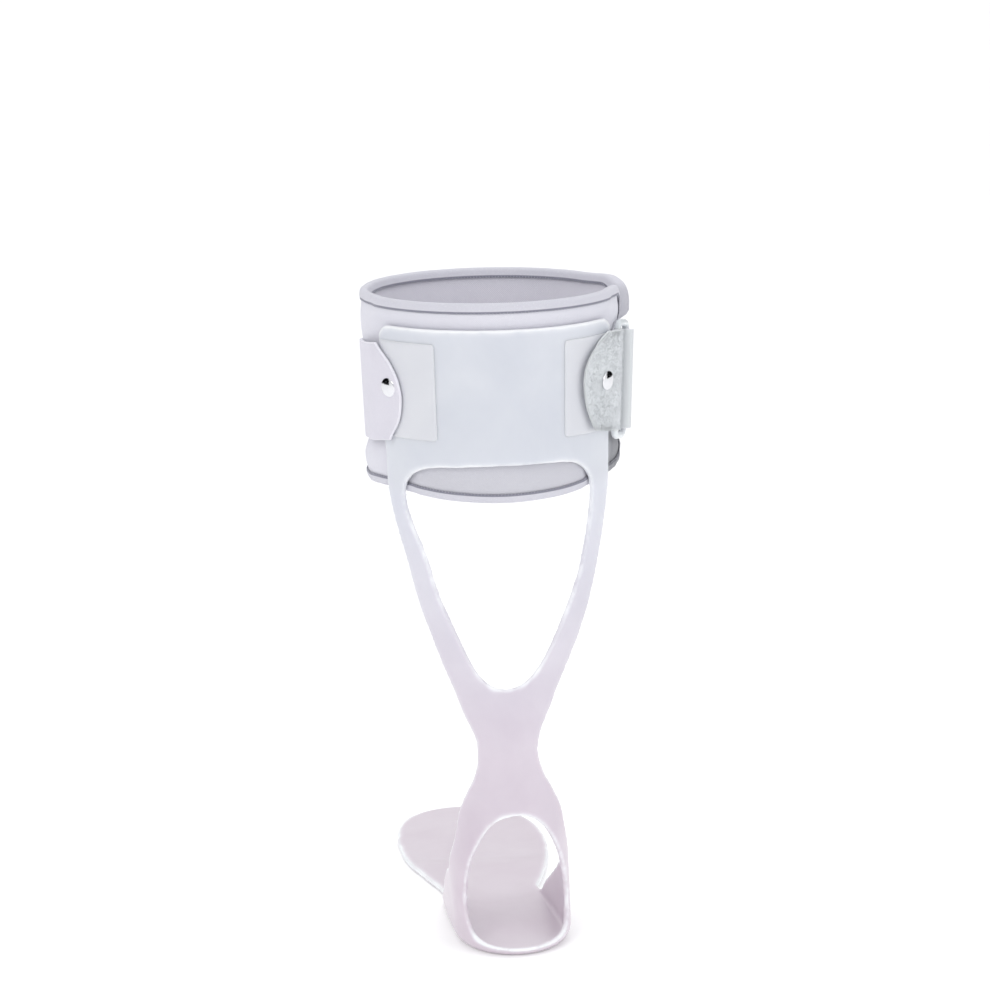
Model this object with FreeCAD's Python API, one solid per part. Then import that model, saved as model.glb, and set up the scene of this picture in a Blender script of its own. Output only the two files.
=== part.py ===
import FreeCAD, Part
import math
import os

# Posterior-leaf-spring ankle foot orthosis, left foot, adult medium: a plastic
# shell with a padded calf sleeve, and a shin strap running through a ring.
# Millimetres and degrees. +Z up, +Y towards the toes, +X medial.
# Origin: on the floor, under the centre of the heel cup.
# Angles round the leg (phi) are 0 at the back centre and positive on the medial side.
# In the part names, left is the lateral side (-X) and right the medial side (+X).

os.makedirs("parts", exist_ok=True)
Vector = FreeCAD.Vector
SIDES = (("left", -1), ("right", 1))

# Shell
SHELL_T = 3.0                         # polypropylene wall
SOLE_T = 3.0                          # sole plate
HEEL_FILLET = 7.0                     # rounding between heel wall and sole
FRONT_FILLET = 3.3                    # the same rounding at the front ends of the wall
FILLET_START = 25.0                   # slope where the sole plate takes over the rounding
PLATE_OVERLAP = 0.25                  # sole plate edge beyond the start of the rounding
NECK_LOW, NECK_HIGH = 97.0, 117.0     # flexing stretch of the rear spine
TOE_Y0, TOE_Y1 = 118.0, 130.0         # flexing stretch of the sole plate

# Pad sleeve
PAD_TOP = 344.3
PAD_START, PAD_END = -260.0, 88.0     # ends of the sleeve, degrees round the leg
PAD_GAP = 3.95                        # shell outer face to pad cover
COVER_T, FOAM_T, LINING_T = 0.6, 3.5, 0.6
BIND_T, BIND_W = 0.55, 6.5            # edge binding tape
PAD_INSET = 1.0                       # layers end this far inside the binding's edge
BIND_INSET = 0.6                      # binding's edge to its hollow
BIND_CLEAR = 0.08                     # hollow beyond the pad faces
PAD_CORNER = 13.0
PAD_MM_PER_DEG = 1.10
LAYER_GAP = 0.05

# Squares and patches on the cuff
HOOK_T = 0.8                          # hook squares between cuff and pad
PATCH_T = 0.75                        # reinforcement patches outside the cuff
CUFF_GAP = 0.04                       # gap between the cuff and either of them
PATCH_TOP = CUFF_GAP + PATCH_T
SQUARE_CORNER = 4.0

# Strap and chafe tab
STRAP_T = 1.5
TAB_T = 1.1
BAND_SLOPE = math.radians(8.0)        # lean of strap and ring
BAND_MM_PER_DEG = 1.14
PAD_CLEAR = 0.85      # strap to pad cover: the edge binding passes under the drawn-out strap
HOOK_PATCH_T = 0.9                    # hook patch between web and flap
WEB_END_PHI = -262.0                  # where the web leaves the pad for the ring
FLAP_END = -199.0

# Rivets
RIVET_PHI, RIVET_Z = 51.5, 300.4
CAP_R, CAP_H, POST_R = 4.8, 2.0, 2.0
CAP_TRIM = 0.15                       # cap rim cut back from the dome's full radius
WASHER_R, WASHER_T = 4.5, 0.55
HOLE_CLEAR, WASHER_CLEAR = 0.05, 0.03

# Ring
BAR_R = 1.75                          # wire radius
RING_PHI, RING_OFF, RING_Z = 65.0, 0.4, 297.9
RING_REACH, RING_TALL = 14.0, 56.5    # bar centre to bar centre
RING_CORNER = 3.5


class Curve:
    """Monotone cubic through points; held constant beyond its ends."""

    def __init__(self, points):
        self.xs = [float(p[0]) for p in points]
        self.ys = [float(p[1]) for p in points]
        count = len(points)
        steps = [self.xs[i + 1] - self.xs[i] for i in range(count - 1)]
        chords = [(self.ys[i + 1] - self.ys[i]) / steps[i] for i in range(count - 1)]
        self.slopes = [0.0] * count
        self.slopes[0], self.slopes[-1] = chords[0], chords[-1]
        for i in range(1, count - 1):
            if chords[i - 1] * chords[i] > 0:
                before = 2 * steps[i] + steps[i - 1]
                after = steps[i] + 2 * steps[i - 1]
                self.slopes[i] = (before + after) / (before / chords[i - 1] + after / chords[i])

    def __call__(self, x):
        x = min(max(x, self.xs[0]), self.xs[-1])
        i = 0
        while i < len(self.xs) - 2 and x > self.xs[i + 1]:
            i += 1
        step = self.xs[i + 1] - self.xs[i]
        t = (x - self.xs[i]) / step
        return ((1 + 2 * t) * (1 - t) ** 2 * self.ys[i]
                + t * (1 - t) ** 2 * step * self.slopes[i]
                + t * t * (3 - 2 * t) * self.ys[i + 1]
                + t * t * (t - 1) * step * self.slopes[i + 1])


# Outer face of the shell. Each table: height z, value.
half_width = Curve([
    (0, 30.3), (10, 30.5), (30, 31.3), (50, 31.8), (80, 32.6), (107, 34.5), (140, 40),
    (170, 47.2), (205, 55.9), (235, 62.8), (250, 64.8), (290, 66.2), (320, 67), (345, 67.8)])
rear_y = Curve([
    (0, -33), (45, -33), (60, -32), (80, -28.5), (107, -24), (140, -26.5), (170, -32),
    (205, -41.5), (235, -50), (250, -53.5), (290, -57.5), (320, -59.5), (345, -61)])
centre_y = Curve([(0, 0), (60, 0), (107, 6), (140, 8), (205, 9), (250, 8), (345, 4)])
front_depth = Curve([
    (0, 150), (40, 150), (80, 120), (140, 80), (205, 57), (250, 58.2), (290, 60.7), (345, 64)])
centre_x = Curve([
    (0, 3.2), (10, 3.0), (20, 2.4), (45, 0.9), (60, 0.3), (107, -0.46), (120, -0.48),
    (130, -0.26), (147, 0.33), (171, 0.82), (192, 0.35), (202, 0.15), (212, -0.3),
    (223, -1.05), (239, -2.0), (250, -2.4), (345, -3.6)])
# turn of the section about Z, degrees
toe_out = Curve([(0, 5), (60, 5), (107, 2.5), (150, 0), (345, 0)])

# Front trim line: height z, degrees either side of the back centre.
trim_edge = Curve([
    (0, 115.3), (3.6, 113.6), (9, 110.3), (16.5, 105.5), (30, 97), (41, 90), (50, 79.5),
    (57, 70.5), (63, 65), (69, 61), (75, 56.3), (86, 43.6), (96, 32.2), (107, 27.4),
    (116, 29.4), (126, 36.0), (141, 43.6), (150, 48.6), (168, 55.6), (191, 60.2),
    (213, 59.7), (234.5, 59.4), (249, 59.4), (268, 58.7), (300, 59.5), (325, 59.5),
    (329, 57.5), (331, 54)])

# Rear openings, top to bottom: height z, degrees from the back centre on that side.
CALF_MEDIAL = [
    (262.6, 0), (262.6, 8), (262.6, 17), (262.1, 26), (261.0, 33.6), (257.2, 40),
    (251.8, 44.0), (241, 46.2), (225, 46.0), (208, 45.0), (198, 43.6), (183, 38.8),
    (170, 33.6), (157, 26.8), (147, 17.8), (142.4, 8.4), (141, 0)]
CALF_LATERAL = [
    (262.6, 0), (262.3, 9), (261.7, 19), (261.0, 30), (259.4, 37.5), (255.8, 43.6),
    (251.4, 47.0), (241, 49.2), (225, 46.8), (208, 44.0), (198, 43.0), (183, 39.4),
    (170, 34.0), (157, 27.4), (147, 19.2), (142.4, 10.2), (141, 0)]
HEEL_MEDIAL = [
    (74.4, 0), (74.1, 8), (73, 15.5), (69.5, 26), (61, 39.5), (48, 54), (38, 61.3),
    (28, 65.5), (18, 65.5), (11, 60), (7, 48), (5, 31), (4.2, 15), (4, 0)]
HEEL_LATERAL = [
    (74.0, 0), (73.5, 8), (72.2, 15.5), (68.3, 25), (60, 36.5), (48, 49.0), (38, 55.5),
    (28, 59.8), (18, 60.6), (11, 55.5), (7, 45), (5, 30), (4.2, 15), (4, 0)]

# Shell stations: slopes up the heel rounding, then heights up the wall.
FILLET_SLOPES = (FILLET_START, 38, 51, 64, 77, 90)
WALL_HEIGHTS = (
    12, 17, 23, 30, 36, 41, 46, 50, 54, 58, 63, 69, 75, 80, 86, 91, 96, 101, 107, 112, 116,
    121, 126, 133, 141, 150, 159, 168, 180, 191, 202, 213, 224, 235, 249, 262, 275, 288,
    300, 312, 320, 325, 327, 329, 330.2, 331)

# Sole plate outline round the forefoot, medial to lateral: x, y.
FOREFOOT = [
    (27.0, 80), (30.6, 95), (33.6, 112), (35.6, 130), (36, 150), (33.6, 170), (27.4, 188),
    (17.8, 201), (5, 208.6), (-9, 211), (-23, 208), (-35.5, 199), (-43.7, 184),
    (-47.2, 165), (-47.6, 145), (-46.2, 128), (-43.5, 113), (-38.9, 99), (-34.0, 84)]


def shell_face(z, phi, out=0.0):
    """Point on the shell's outer face, moved outwards."""
    turn = math.radians(phi)
    rear_depth = centre_y(z) - rear_y(z) + out
    fore_depth = front_depth(z) + out
    x = (half_width(z) + out) * math.sin(turn)
    cosine = math.cos(turn)
    y = centre_y(z) - (rear_depth if cosine >= 0 else fore_depth) * cosine
    twist = math.radians(toe_out(z))
    return Vector(centre_x(z) + x * math.cos(twist) - y * math.sin(twist),
                  x * math.sin(twist) + y * math.cos(twist), z)


def smooth(t):
    """Smooth step from 0 to 1."""
    t = min(max(t, 0.0), 1.0)
    return t * t * (3 - 2 * t)


def unit(vector):
    vector.normalize()
    return vector


def hermite(start, start_tangent, end, end_tangent, s):
    return (start * (2 * s ** 3 - 3 * s ** 2 + 1) + start_tangent * (s ** 3 - 2 * s ** 2 + s)
            + end * (-2 * s ** 3 + 3 * s ** 2) + end_tangent * (s ** 3 - s ** 2))


def span(start, end, count):
    return [start + (end - start) * i / (count - 1.0) for i in range(count)]


def bunched(start, end, count, margin):
    """Like span, with extra stations in a margin at both ends."""
    steps = [0.0, 0.4, 1.2, 2.6, 4.6, 7.2, 10.4]
    scale = margin / 14.0
    core = span(start + margin, end - margin, count)
    return ([start + step * scale for step in steps] + core
            + [end - step * scale for step in reversed(steps)])


def corner_inset(distance, radius):
    """How far a round corner pulls the edge in, at a distance from the side."""
    if distance >= radius:
        return 0.0
    return radius - math.sqrt(max(radius * radius - (radius - distance) ** 2, 0.0))


# ---------------------------------------------------------------------------
# Solids from point grids
# ---------------------------------------------------------------------------

def transpose(grid):
    return [list(row) for row in zip(*grid)]


def spline_data(points, params):
    curve = Part.BSplineCurve()
    curve.interpolate(Points=points, Parameters=params)
    return curve.getPoles(), curve.getKnots(), curve.getMultiplicities()


def chord_params(grid):
    """Average chord length parameters along the first index of a grid."""
    count = len(grid)
    total = [0.0] * count
    for j in range(len(grid[0])):
        run = [0.0]
        for i in range(1, count):
            run.append(run[-1] + (grid[i][j] - grid[i - 1][j]).Length)
        for i in range(count):
            total[i] += run[i] / run[-1]
    return [t / total[-1] for t in total]


def spline_face(net, mults_u, mults_v, knots_u, knots_v, degree_u):
    surface = Part.BSplineSurface()
    surface.buildFromPolesMultsKnots(net, mults_u, mults_v, knots_u, knots_v,
                                     False, False, degree_u, 3)
    return surface.toShape()


def ruled_face(poles0, poles1, mults, knots):
    return spline_face([poles0, poles1], [2, 2], mults, [0.0, 1.0], knots, 1)


def sewn_solid(faces):
    shell = Part.makeShell(faces)
    shell.sewShape()
    solid = Part.makeSolid(shell if shell.ShapeType == "Shell" else shell.Shells[0])
    if solid.Volume < 0:
        solid.reverse()
    return solid


def close_sheet(grid0, grid1):
    """Solid between two grids: two cubic faces and four ruled sides that share their edges."""
    params_u, params_v = chord_params(grid0), chord_params(transpose(grid0))
    nets = []
    for grid in (grid0, grid1):
        rows = []
        for line in grid:
            poles, knots_v, mults_v = spline_data(line, params_v)
            rows.append(poles)
        columns = []
        for line in transpose(rows):
            poles, knots_u, mults_u = spline_data(line, params_u)
            columns.append(poles)
        nets.append(transpose(columns))
    a, b = nets
    return sewn_solid([
        spline_face(a, mults_u, mults_v, knots_u, knots_v, 3),
        spline_face(b, mults_u, mults_v, knots_u, knots_v, 3),
        ruled_face(a[0], b[0], mults_v, knots_v),
        ruled_face(a[-1], b[-1], mults_v, knots_v),
        ruled_face([row[0] for row in a], [row[0] for row in b], mults_u, knots_u),
        ruled_face([row[-1] for row in a], [row[-1] for row in b], mults_u, knots_u)])


def sheet(point_at, us, vs, out0, out1):
    """Solid between two offsets of point_at(u, v, out)."""
    return close_sheet([[point_at(u, v, out0) for v in vs] for u in us],
                       [[point_at(u, v, out1) for v in vs] for u in us])


def thicken(middle, thickness):
    """Solid centred on a mid surface grid, offset along its estimated normals."""
    last_i, last_j = len(middle) - 1, len(middle[0]) - 1
    grid0, grid1 = [], []
    for i in range(last_i + 1):
        row0, row1 = [], []
        for j in range(last_j + 1):
            along_u = middle[min(i + 1, last_i)][j] - middle[max(i - 1, 0)][j]
            along_v = middle[i][min(j + 1, last_j)] - middle[i][max(j - 1, 0)]
            normal = unit(along_u.cross(along_v))
            row0.append(middle[i][j] + normal * (-thickness / 2))
            row1.append(middle[i][j] + normal * (thickness / 2))
        grid0.append(row0)
        grid1.append(row1)
    return close_sheet(grid0, grid1)


# ---------------------------------------------------------------------------
# Rivet places
# ---------------------------------------------------------------------------

def rivet_axis(side):
    """Rivet's point on the shell's outer face and the outward normal there."""
    phi = side * RIVET_PHI
    step = 0.25
    around = shell_face(RIVET_Z, phi + step) - shell_face(RIVET_Z, phi - step)
    up = shell_face(RIVET_Z + step, phi) - shell_face(RIVET_Z - step, phi)
    return shell_face(RIVET_Z, phi), unit(around.cross(up))


def rivet_hole(side):
    seat, normal = rivet_axis(side)
    return Part.makeCylinder(POST_R + HOLE_CLEAR, 24, seat - normal * 12, normal)


# ---------------------------------------------------------------------------
# Shell
# ---------------------------------------------------------------------------

def fillet_radius(phi):
    return HEEL_FILLET - (HEEL_FILLET - FRONT_FILLET) * smooth((abs(phi) - 70) / 42.0)


def wall_point(u, station, out):
    """Point at fraction u of the trim width; station is (kind, slope or height)."""
    kind, value = station
    if kind == "wall":
        return shell_face(value, u * trim_edge(value), out)
    slope = math.radians(value)
    z_nominal = HEEL_FILLET * (1 - math.cos(slope))
    phi = u * trim_edge(z_nominal * 0.75)
    radius = fillet_radius(phi)
    reach = radius + out
    point = shell_face(radius, phi, -(radius - reach * math.sin(slope)))
    return Vector(point.x, point.y, radius - reach * math.cos(slope))


def opening_cutter(medial, lateral, y_inner, y_outer):
    """Cutter for a rear opening, along radial lines between two planes of constant y."""
    loop = medial + [(z, -phi) for z, phi in reversed(lateral[1:-1])] + [medial[0]]
    skin = [shell_face(z, phi) for z, phi in loop]
    run = [0.0]
    for i in range(1, len(skin)):
        run.append(run[-1] + (skin[i] - skin[i - 1]).Length)
    params = [length / run[-1] for length in run]
    rims = []
    for y_plane in (y_inner, y_outer):
        points = []
        for point in skin:
            axis = Vector(centre_x(point.z), centre_y(point.z), point.z)
            ray = point - axis
            points.append(axis + ray * ((y_plane - axis.y) / ray.y))
        poles, knots, mults = spline_data(points, params)
        rims.append(poles)
    faces = [ruled_face(rims[0], rims[1], mults, knots)]
    for poles in rims:
        rim = Part.BSplineCurve()
        rim.buildFromPolesMultsKnots(poles, mults, knots, False, 3)
        faces.append(Part.Face(Part.Wire([rim.toShape()])))
    return sewn_solid(faces)


def sole_plate():
    """Plate from just outside the start of the heel rounding, round the forefoot."""
    heel_line = []
    for i in range(25):
        phi = trim_edge(0) * (-1 + 2 * i / 24.0)
        radius = fillet_radius(phi)
        inset = radius * (1 - math.sin(math.radians(FILLET_START))) - PLATE_OVERLAP
        point = shell_face(radius, phi, -inset)
        heel_line.append(Vector(point.x, point.y, 0))
    outline = Part.BSplineCurve()
    outline.interpolate(heel_line + [Vector(x, y, 0) for x, y in FOREFOOT], PeriodicFlag=True)
    return Part.Face(Part.Wire([outline.toShape()])).extrude(Vector(0, 0, SOLE_T))


def whole_shell():
    stations = ([("fillet", slope) for slope in FILLET_SLOPES]
                + [("wall", z) for z in WALL_HEIGHTS])
    shell = sheet(wall_point, span(-1, 1, 41), stations, 0.0, -SHELL_T)
    shell = shell.cut(opening_cutter(CALF_MEDIAL, CALF_LATERAL, -12.0, -110.0))
    shell = shell.cut(opening_cutter(HEEL_MEDIAL, HEEL_LATERAL, -7.0, -60.0))
    shell = shell.fuse(sole_plate())
    for _, side in SIDES:
        shell = shell.cut(rivet_hole(side))
    return shell


def block(z_low, z_high, y_low=-200, y_high=300):
    """Box wider than the shell, for splitting it."""
    return Part.makeBox(400, y_high - y_low, z_high - z_low, Vector(-200, y_low, z_low))


def shell_parts():
    shell = whole_shell()
    low = shell.common(block(-10, NECK_LOW))
    return {
        "calf_shell": shell.common(block(NECK_HIGH, 400)),
        "neck_leaf_spring": shell.common(block(NECK_LOW, NECK_HIGH)),
        "foot_shell": low.common(block(-10, NECK_LOW, y_high=TOE_Y0)),
        "toe_flex_strip": low.common(block(-10, NECK_LOW, TOE_Y0, TOE_Y1)),
        "toe_plate": low.common(block(-10, NECK_LOW, y_low=TOE_Y1)),
    }


# ---------------------------------------------------------------------------
# Pad sleeve
# ---------------------------------------------------------------------------

# Lower edge: phi, height z.
pad_bottom = Curve([
    (-262, 252.2), (-230, 252.2), (-180, 250.4), (-130, 247.8), (-90, 246.4), (-65, 247.4),
    (-46, 246.5), (-25, 244.4), (0, 243.3), (25, 244.4), (46, 246.9), (65, 249.6), (90, 251.9)])
PAD_LEVELS = [0, .05, .12, .25, .4, .55, .68, .76, .82, .88, .94, 1.0]   # share of height


def pad_face(z, phi, out):
    """Point on the pad cover's outer face, moved outwards; the top flares near both ends."""
    lift = smooth((z - 324.0) / 12.0)
    flare = lift * (1.2 * smooth((phi - 66.0) / 22.0) + 3.6 * smooth((-232.0 - phi) / 28.0))
    return shell_face(z, phi, -PAD_GAP + flare + out)


def pad_sheet(grow, out0, out1):
    """One layer of the pad; grow widens it past its edges, and the corner radii follow."""
    start = PAD_START - grow / PAD_MM_PER_DEG
    end = PAD_END + grow / PAD_MM_PER_DEG
    radius = PAD_CORNER + grow

    def point_at(phi, level, out):
        inset = corner_inset(min(phi - start, end - phi) * PAD_MM_PER_DEG, radius)
        top = PAD_TOP + grow - inset
        bottom = pad_bottom(phi) - grow + inset
        return pad_face(bottom + (top - bottom) * level, phi, out)

    phis = bunched(start, end, 58, radius / PAD_MM_PER_DEG)
    return sheet(point_at, phis, PAD_LEVELS, out0, out1)


def pad_parts():
    cover_in = -COVER_T
    foam_in = cover_in - LAYER_GAP - FOAM_T
    lining_in = foam_in - LAYER_GAP - LINING_T
    bind_in = lining_in - LAYER_GAP
    binding = pad_sheet(0.0, bind_in - BIND_T, LAYER_GAP + BIND_T)
    hollow = pad_sheet(-BIND_INSET, bind_in - BIND_CLEAR, LAYER_GAP + BIND_CLEAR)
    window = pad_sheet(-BIND_W, -16.0, 10.0)
    return {
        "pad_outer_cover": pad_sheet(-PAD_INSET, cover_in, 0.0),
        "pad_foam_core": pad_sheet(-PAD_INSET, foam_in, cover_in - LAYER_GAP),
        "pad_skin_lining": pad_sheet(-PAD_INSET, lining_in, foam_in - LAYER_GAP),
        "pad_edge_binding": binding.cut(window).cut(hollow),
    }


# ---------------------------------------------------------------------------
# Hook squares inside the cuff, reinforcement patches outside it
# ---------------------------------------------------------------------------

def cuff_square(phi0, phi1, z0, z1, out0, out1):
    """Round-cornered piece following the cuff."""
    def point_at(u, v, out):
        distance = min(u, 1 - u) * abs(phi1 - phi0) * PAD_MM_PER_DEG
        inset = corner_inset(distance, SQUARE_CORNER)
        z = z0 + inset + (z1 - z0 - 2 * inset) * v
        return shell_face(z, phi0 + (phi1 - phi0) * u, out)

    return sheet(point_at, bunched(0.0, 1.0, 5, 0.14), span(0, 1, 6), out0, out1)


def hook_square(side):
    outer = -SHELL_T - CUFF_GAP
    return cuff_square(side * 17.0, side * 44.0, 277.0, 321.0, outer - HOOK_T, outer)


def cuff_patch(side):
    patch = cuff_square(side * 28.5, side * 58.0, 275.0, 323.6, CUFF_GAP, PATCH_TOP)
    return patch.cut(rivet_hole(side))


# ---------------------------------------------------------------------------
# Ring: a round-cornered rectangle of wire on the medial side
# ---------------------------------------------------------------------------
rear_bar = shell_face(RING_Z, RING_PHI, RING_OFF)
ring_level = unit(Vector(0.413, 0.911, 0))
# ring frame: rear bar to front bar, up along the bars, outwards
ring_along = ring_level * math.cos(BAND_SLOPE) - Vector(0, 0, 1) * math.sin(BAND_SLOPE)
ring_up = Vector(0, 0, 1) * math.cos(BAND_SLOPE) + ring_level * math.sin(BAND_SLOPE)
ring_out = ring_along.cross(ring_up)
front_bar = rear_bar + ring_along * RING_REACH


def ring_point(along, up):
    return rear_bar + ring_along * along + ring_up * up


def ring_corner(along, up):
    """Quarter torus about a corner centre."""
    centre = ring_point(along, up)
    torus = Part.makeTorus(RING_CORNER, BAR_R, centre, ring_out)
    size = 9    # wedge side, larger than the corner
    to_side = ring_along * (size if along > RING_REACH / 2 else -size)
    to_end = ring_up * (size if up > 0 else -size)
    outline = [centre, centre + to_side, centre + to_side + to_end, centre + to_end, centre]
    base = Part.Face(Part.makePolygon([point - ring_out * 5 for point in outline]))
    return torus.common(base.extrude(ring_out * 10))


def strap_ring():
    half = RING_TALL / 2.0
    low, high = -half + RING_CORNER, half - RING_CORNER
    near, far = RING_CORNER, RING_REACH - RING_CORNER
    bars = (((0, low), (0, high)), ((near, half), (far, half)),
            ((RING_REACH, high), (RING_REACH, low)), ((far, -half), (near, -half)))
    pieces = []
    for start, end in bars:
        foot = ring_point(*start)
        run = ring_point(*end) - foot
        pieces.append(Part.makeCylinder(BAR_R, run.Length, foot, run))
    for corner in ((near, high), (far, high), (far, low), (near, low)):
        pieces.append(ring_corner(*corner))
    return pieces[0].multiFuse(pieces[1:])


def fold_point(centre, radius, angle):
    """Point round a bar; angle 0 is forwards along the ring, 90 degrees outwards."""
    return (centre + ring_along * (radius * math.cos(angle))
            + ring_out * (radius * math.sin(angle)))


# ---------------------------------------------------------------------------
# Sloping bands. Across is millimetres from the band's centre line, + upwards.
# ---------------------------------------------------------------------------
BAND_ROWS = [-25.0, -21.5, -17.0, -11.0, -4.0, 4.0, 11.0, 17.0, 21.5, 25.0]
FLAP_ROWS = [-25.0, -24.0, -22.0, -18.5, -13.0, -6.0, 0.0, 6.0, 13.0, 18.5, 22.0, 24.0, 25.0]


def band_lean(across):
    """Shift in phi that squares the band's cross lines to its slope."""
    return across * math.sin(BAND_SLOPE) / BAND_MM_PER_DEG


def band_solid(column, rows, thickness):
    return thicken(transpose([column(across) for across in rows]), thickness)


# Chafe tab: riveted over the cuff, folded round the rear bar.
tab_end = Curve([   # free end: across, phi
    (-25.0, 43.0), (-19.5, 40.4), (-10.5, 37.4), (0.0, 36.4), (4.6, 36.9), (12.5, 39.8),
    (17.0, 43.0), (21.5, 46.9), (25.0, 51.0)])
TAB_INNER = PATCH_TOP + 0.32 + TAB_T / 2      # mid surface of the inner leg
TAB_OUTER = TAB_INNER + TAB_T + 0.08          # and of the outer leg
TAB_FOLD_R = BAR_R + 0.07 + TAB_T / 2
TAB_OUTER_PHI = 58.5                          # where the outer leg leaves the cuff
TAB_INNER_PHI = 59.9                          # where the inner leg meets it again
TAB_INNER_END = 45.5
TAB_WRAP = math.radians(68.0)                 # fold beyond a half turn


def tab_point(phi, across, out):
    rise_per_deg = BAND_MM_PER_DEG * math.tan(BAND_SLOPE) * 0.92
    z = RING_Z + (RING_PHI - phi) * rise_per_deg + across * math.cos(BAND_SLOPE)
    return shell_face(z, phi + band_lean(across) * smooth((phi - 44.0) / 14.0), out)


def tab_column(across):
    bar = rear_bar + ring_up * across
    free_end = tab_end(across)
    column = [tab_point(free_end + (TAB_OUTER_PHI - free_end) * s, across, TAB_OUTER)
              for s in (0, .08, .2, .4, .6, .8, 1.0)]
    start, end = column[-1], bar + ring_out * TAB_FOLD_R
    gap = (end - start).Length
    tangent = unit(column[-1] - column[-2]) * gap
    column += [hermite(start, tangent, end, ring_along * gap, s) for s in (.3, .6, .8)]
    fold_end = math.pi / 2 - (math.pi + TAB_WRAP)
    column += [fold_point(bar, TAB_FOLD_R, angle) for angle in span(math.pi / 2, fold_end, 14)]
    start, end = column[-1], tab_point(TAB_INNER_PHI, across, TAB_INNER)
    gap = (end - start).Length
    leave = ring_along * -math.cos(TAB_WRAP) + ring_out * math.sin(TAB_WRAP)
    arrive = unit(tab_point(TAB_INNER_PHI - 1, across, TAB_INNER) - end)
    column += [hermite(start, leave * gap, end, arrive * gap * 0.9, s)
               for s in (.2, .4, .6, .8, 1.0)]
    column += [tab_point(TAB_INNER_PHI - (TAB_INNER_PHI - TAB_INNER_END) * s, across, TAB_INNER)
               for s in (.14, .3, .5, .75, 1.0)]
    return column


def chafe_tab():
    return band_solid(tab_column, BAND_ROWS, TAB_T).cut(rivet_hole(1))


# Strap web: riveted on the lateral side, round the shin and round the ring's front bar.
strap_end = Curve([   # riveted end: across, phi
    (-25.0, -51.8), (-22.0, -50.5), (-16.0, -46.9), (-9.0, -45.0), (-3.0, -44.5),
    (4.0, -45.5), (14.0, -50.0), (20.5, -55.2), (25.0, -58.6)])
strap_height = Curve([   # centre line: phi, height z
    (-284, 295.9), (-265, 292.7), (-240, 289.6), (-210, 287.4), (-180, 286.6), (-150, 287.0),
    (-120, 289.2), (-90, 292.8), (-66, 296.0), (-58, 297.3), (-51.5, 298.3), (-44, 298.6)])
WEB_PHIS = [-66, -70, -75, -80, -86, -93, -102, -112, -123, -135, -148, -161, -174, -187,
            -200, -213, -225, -236, -246, -255, WEB_END_PHI]
STRAP_ON_CUFF = PATCH_TOP + 0.08 + STRAP_T / 2          # mid surface over the cuff patch
STRAP_ON_PAD = -PAD_GAP + PAD_CLEAR + STRAP_T / 2       # mid surface over the pad
STRAP_FOLD_R = BAR_R + 0.55 + STRAP_T / 2


def strap_z(phi, across):
    return strap_height(phi) + across * math.cos(BAND_SLOPE)


def medial_share(phi):
    """0 to 1 as the strap nears the ring, where it leans fully."""
    return smooth((-235.0 - phi) / 20.0)


def web_point(phi, across):
    lateral_share = smooth((-66.0 - phi) / 20.0) * (1 - smooth((-90 - phi) / 40.0))
    shear = band_lean(across) * (-lateral_share * 0.6 + medial_share(phi))
    drop = smooth((-60.6 - phi) / 24.0)
    out = STRAP_ON_CUFF * (1 - drop) + STRAP_ON_PAD * drop
    return shell_face(strap_z(phi, across), phi + shear, out)


def web_column(across):
    riveted_end = strap_end(across)
    column = [web_point(riveted_end + (-62.5 - riveted_end) * s, across)
              for s in (0, .12, .3, .55, .8, 1.0)]
    column += [web_point(phi, across) for phi in WEB_PHIS]
    bar = front_bar + ring_up * across
    start, end = column[-1], bar - ring_out * STRAP_FOLD_R
    gap = (end - start).Length
    tangent = unit(column[-1] - column[-2]) * gap
    column += [hermite(start, tangent, end, ring_along * -gap, s) for s in (.2, .4, .6, .8)]
    column += [fold_point(bar, STRAP_FOLD_R, angle)
               for angle in span(-math.pi / 2, -3 * math.pi / 2, 11)]
    column.append(bar + ring_out * STRAP_FOLD_R + ring_along * 0.35)
    return column


def strap_web():
    return band_solid(web_column, BAND_ROWS, STRAP_T).cut(rivet_hole(-1))


# Return flap: starts where the web's fold ends and lies over the web.
FLAP_HOOK_IN = PAD_CLEAR + STRAP_T + 0.12               # inner face of the hook patch
FLAP_OUT = FLAP_HOOK_IN + HOOK_PATCH_T + 0.05 + STRAP_T / 2


def flap_point(phi, across, out):
    """Point on the returning strap; out is measured from the pad cover."""
    shear = band_lean(across) * medial_share(phi)
    return shell_face(strap_z(phi, across), phi + shear, -PAD_GAP + out)


def flap_column(across):
    bar = front_bar + ring_up * across
    start = bar + ring_out * STRAP_FOLD_R + ring_along * 0.52
    end = flap_point(WEB_END_PHI, across, FLAP_OUT)
    arrive = unit(flap_point(WEB_END_PHI + 2, across, FLAP_OUT)
                  - flap_point(WEB_END_PHI - 2, across, FLAP_OUT))
    gap = (end - start).Length
    column = [start]
    column += [hermite(start, ring_along * gap, end, arrive * gap, s)
               for s in (.1, .22, .36, .52, .68, .84, 1.0)]
    # rounded tip, 9 degrees deep
    tip = FLAP_END - 9.0 * (1 - math.sqrt(max(1 - (across / 25.4) ** 2, 0.0)))
    column += [flap_point(WEB_END_PHI + (tip - WEB_END_PHI) * s, across, FLAP_OUT)
               for s in (.1, .22, .36, .5, .64, .78, .9, .97, 1.0)]
    return column


def flap_hook_patch():
    return sheet(flap_point, span(-236.0, -206.0, 9), [-22.5, -15, -7, 0, 7, 15, 22.5],
                 FLAP_HOOK_IN, FLAP_HOOK_IN + HOOK_PATCH_T)


# ---------------------------------------------------------------------------
# Rivets
# ---------------------------------------------------------------------------
CAP_SEAT = {   # underside of the cap, out from the shell's outer face
    "left": STRAP_ON_CUFF + STRAP_T / 2 + 0.04,
    "right": TAB_OUTER + TAB_T / 2 + 0.04,
}


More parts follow.
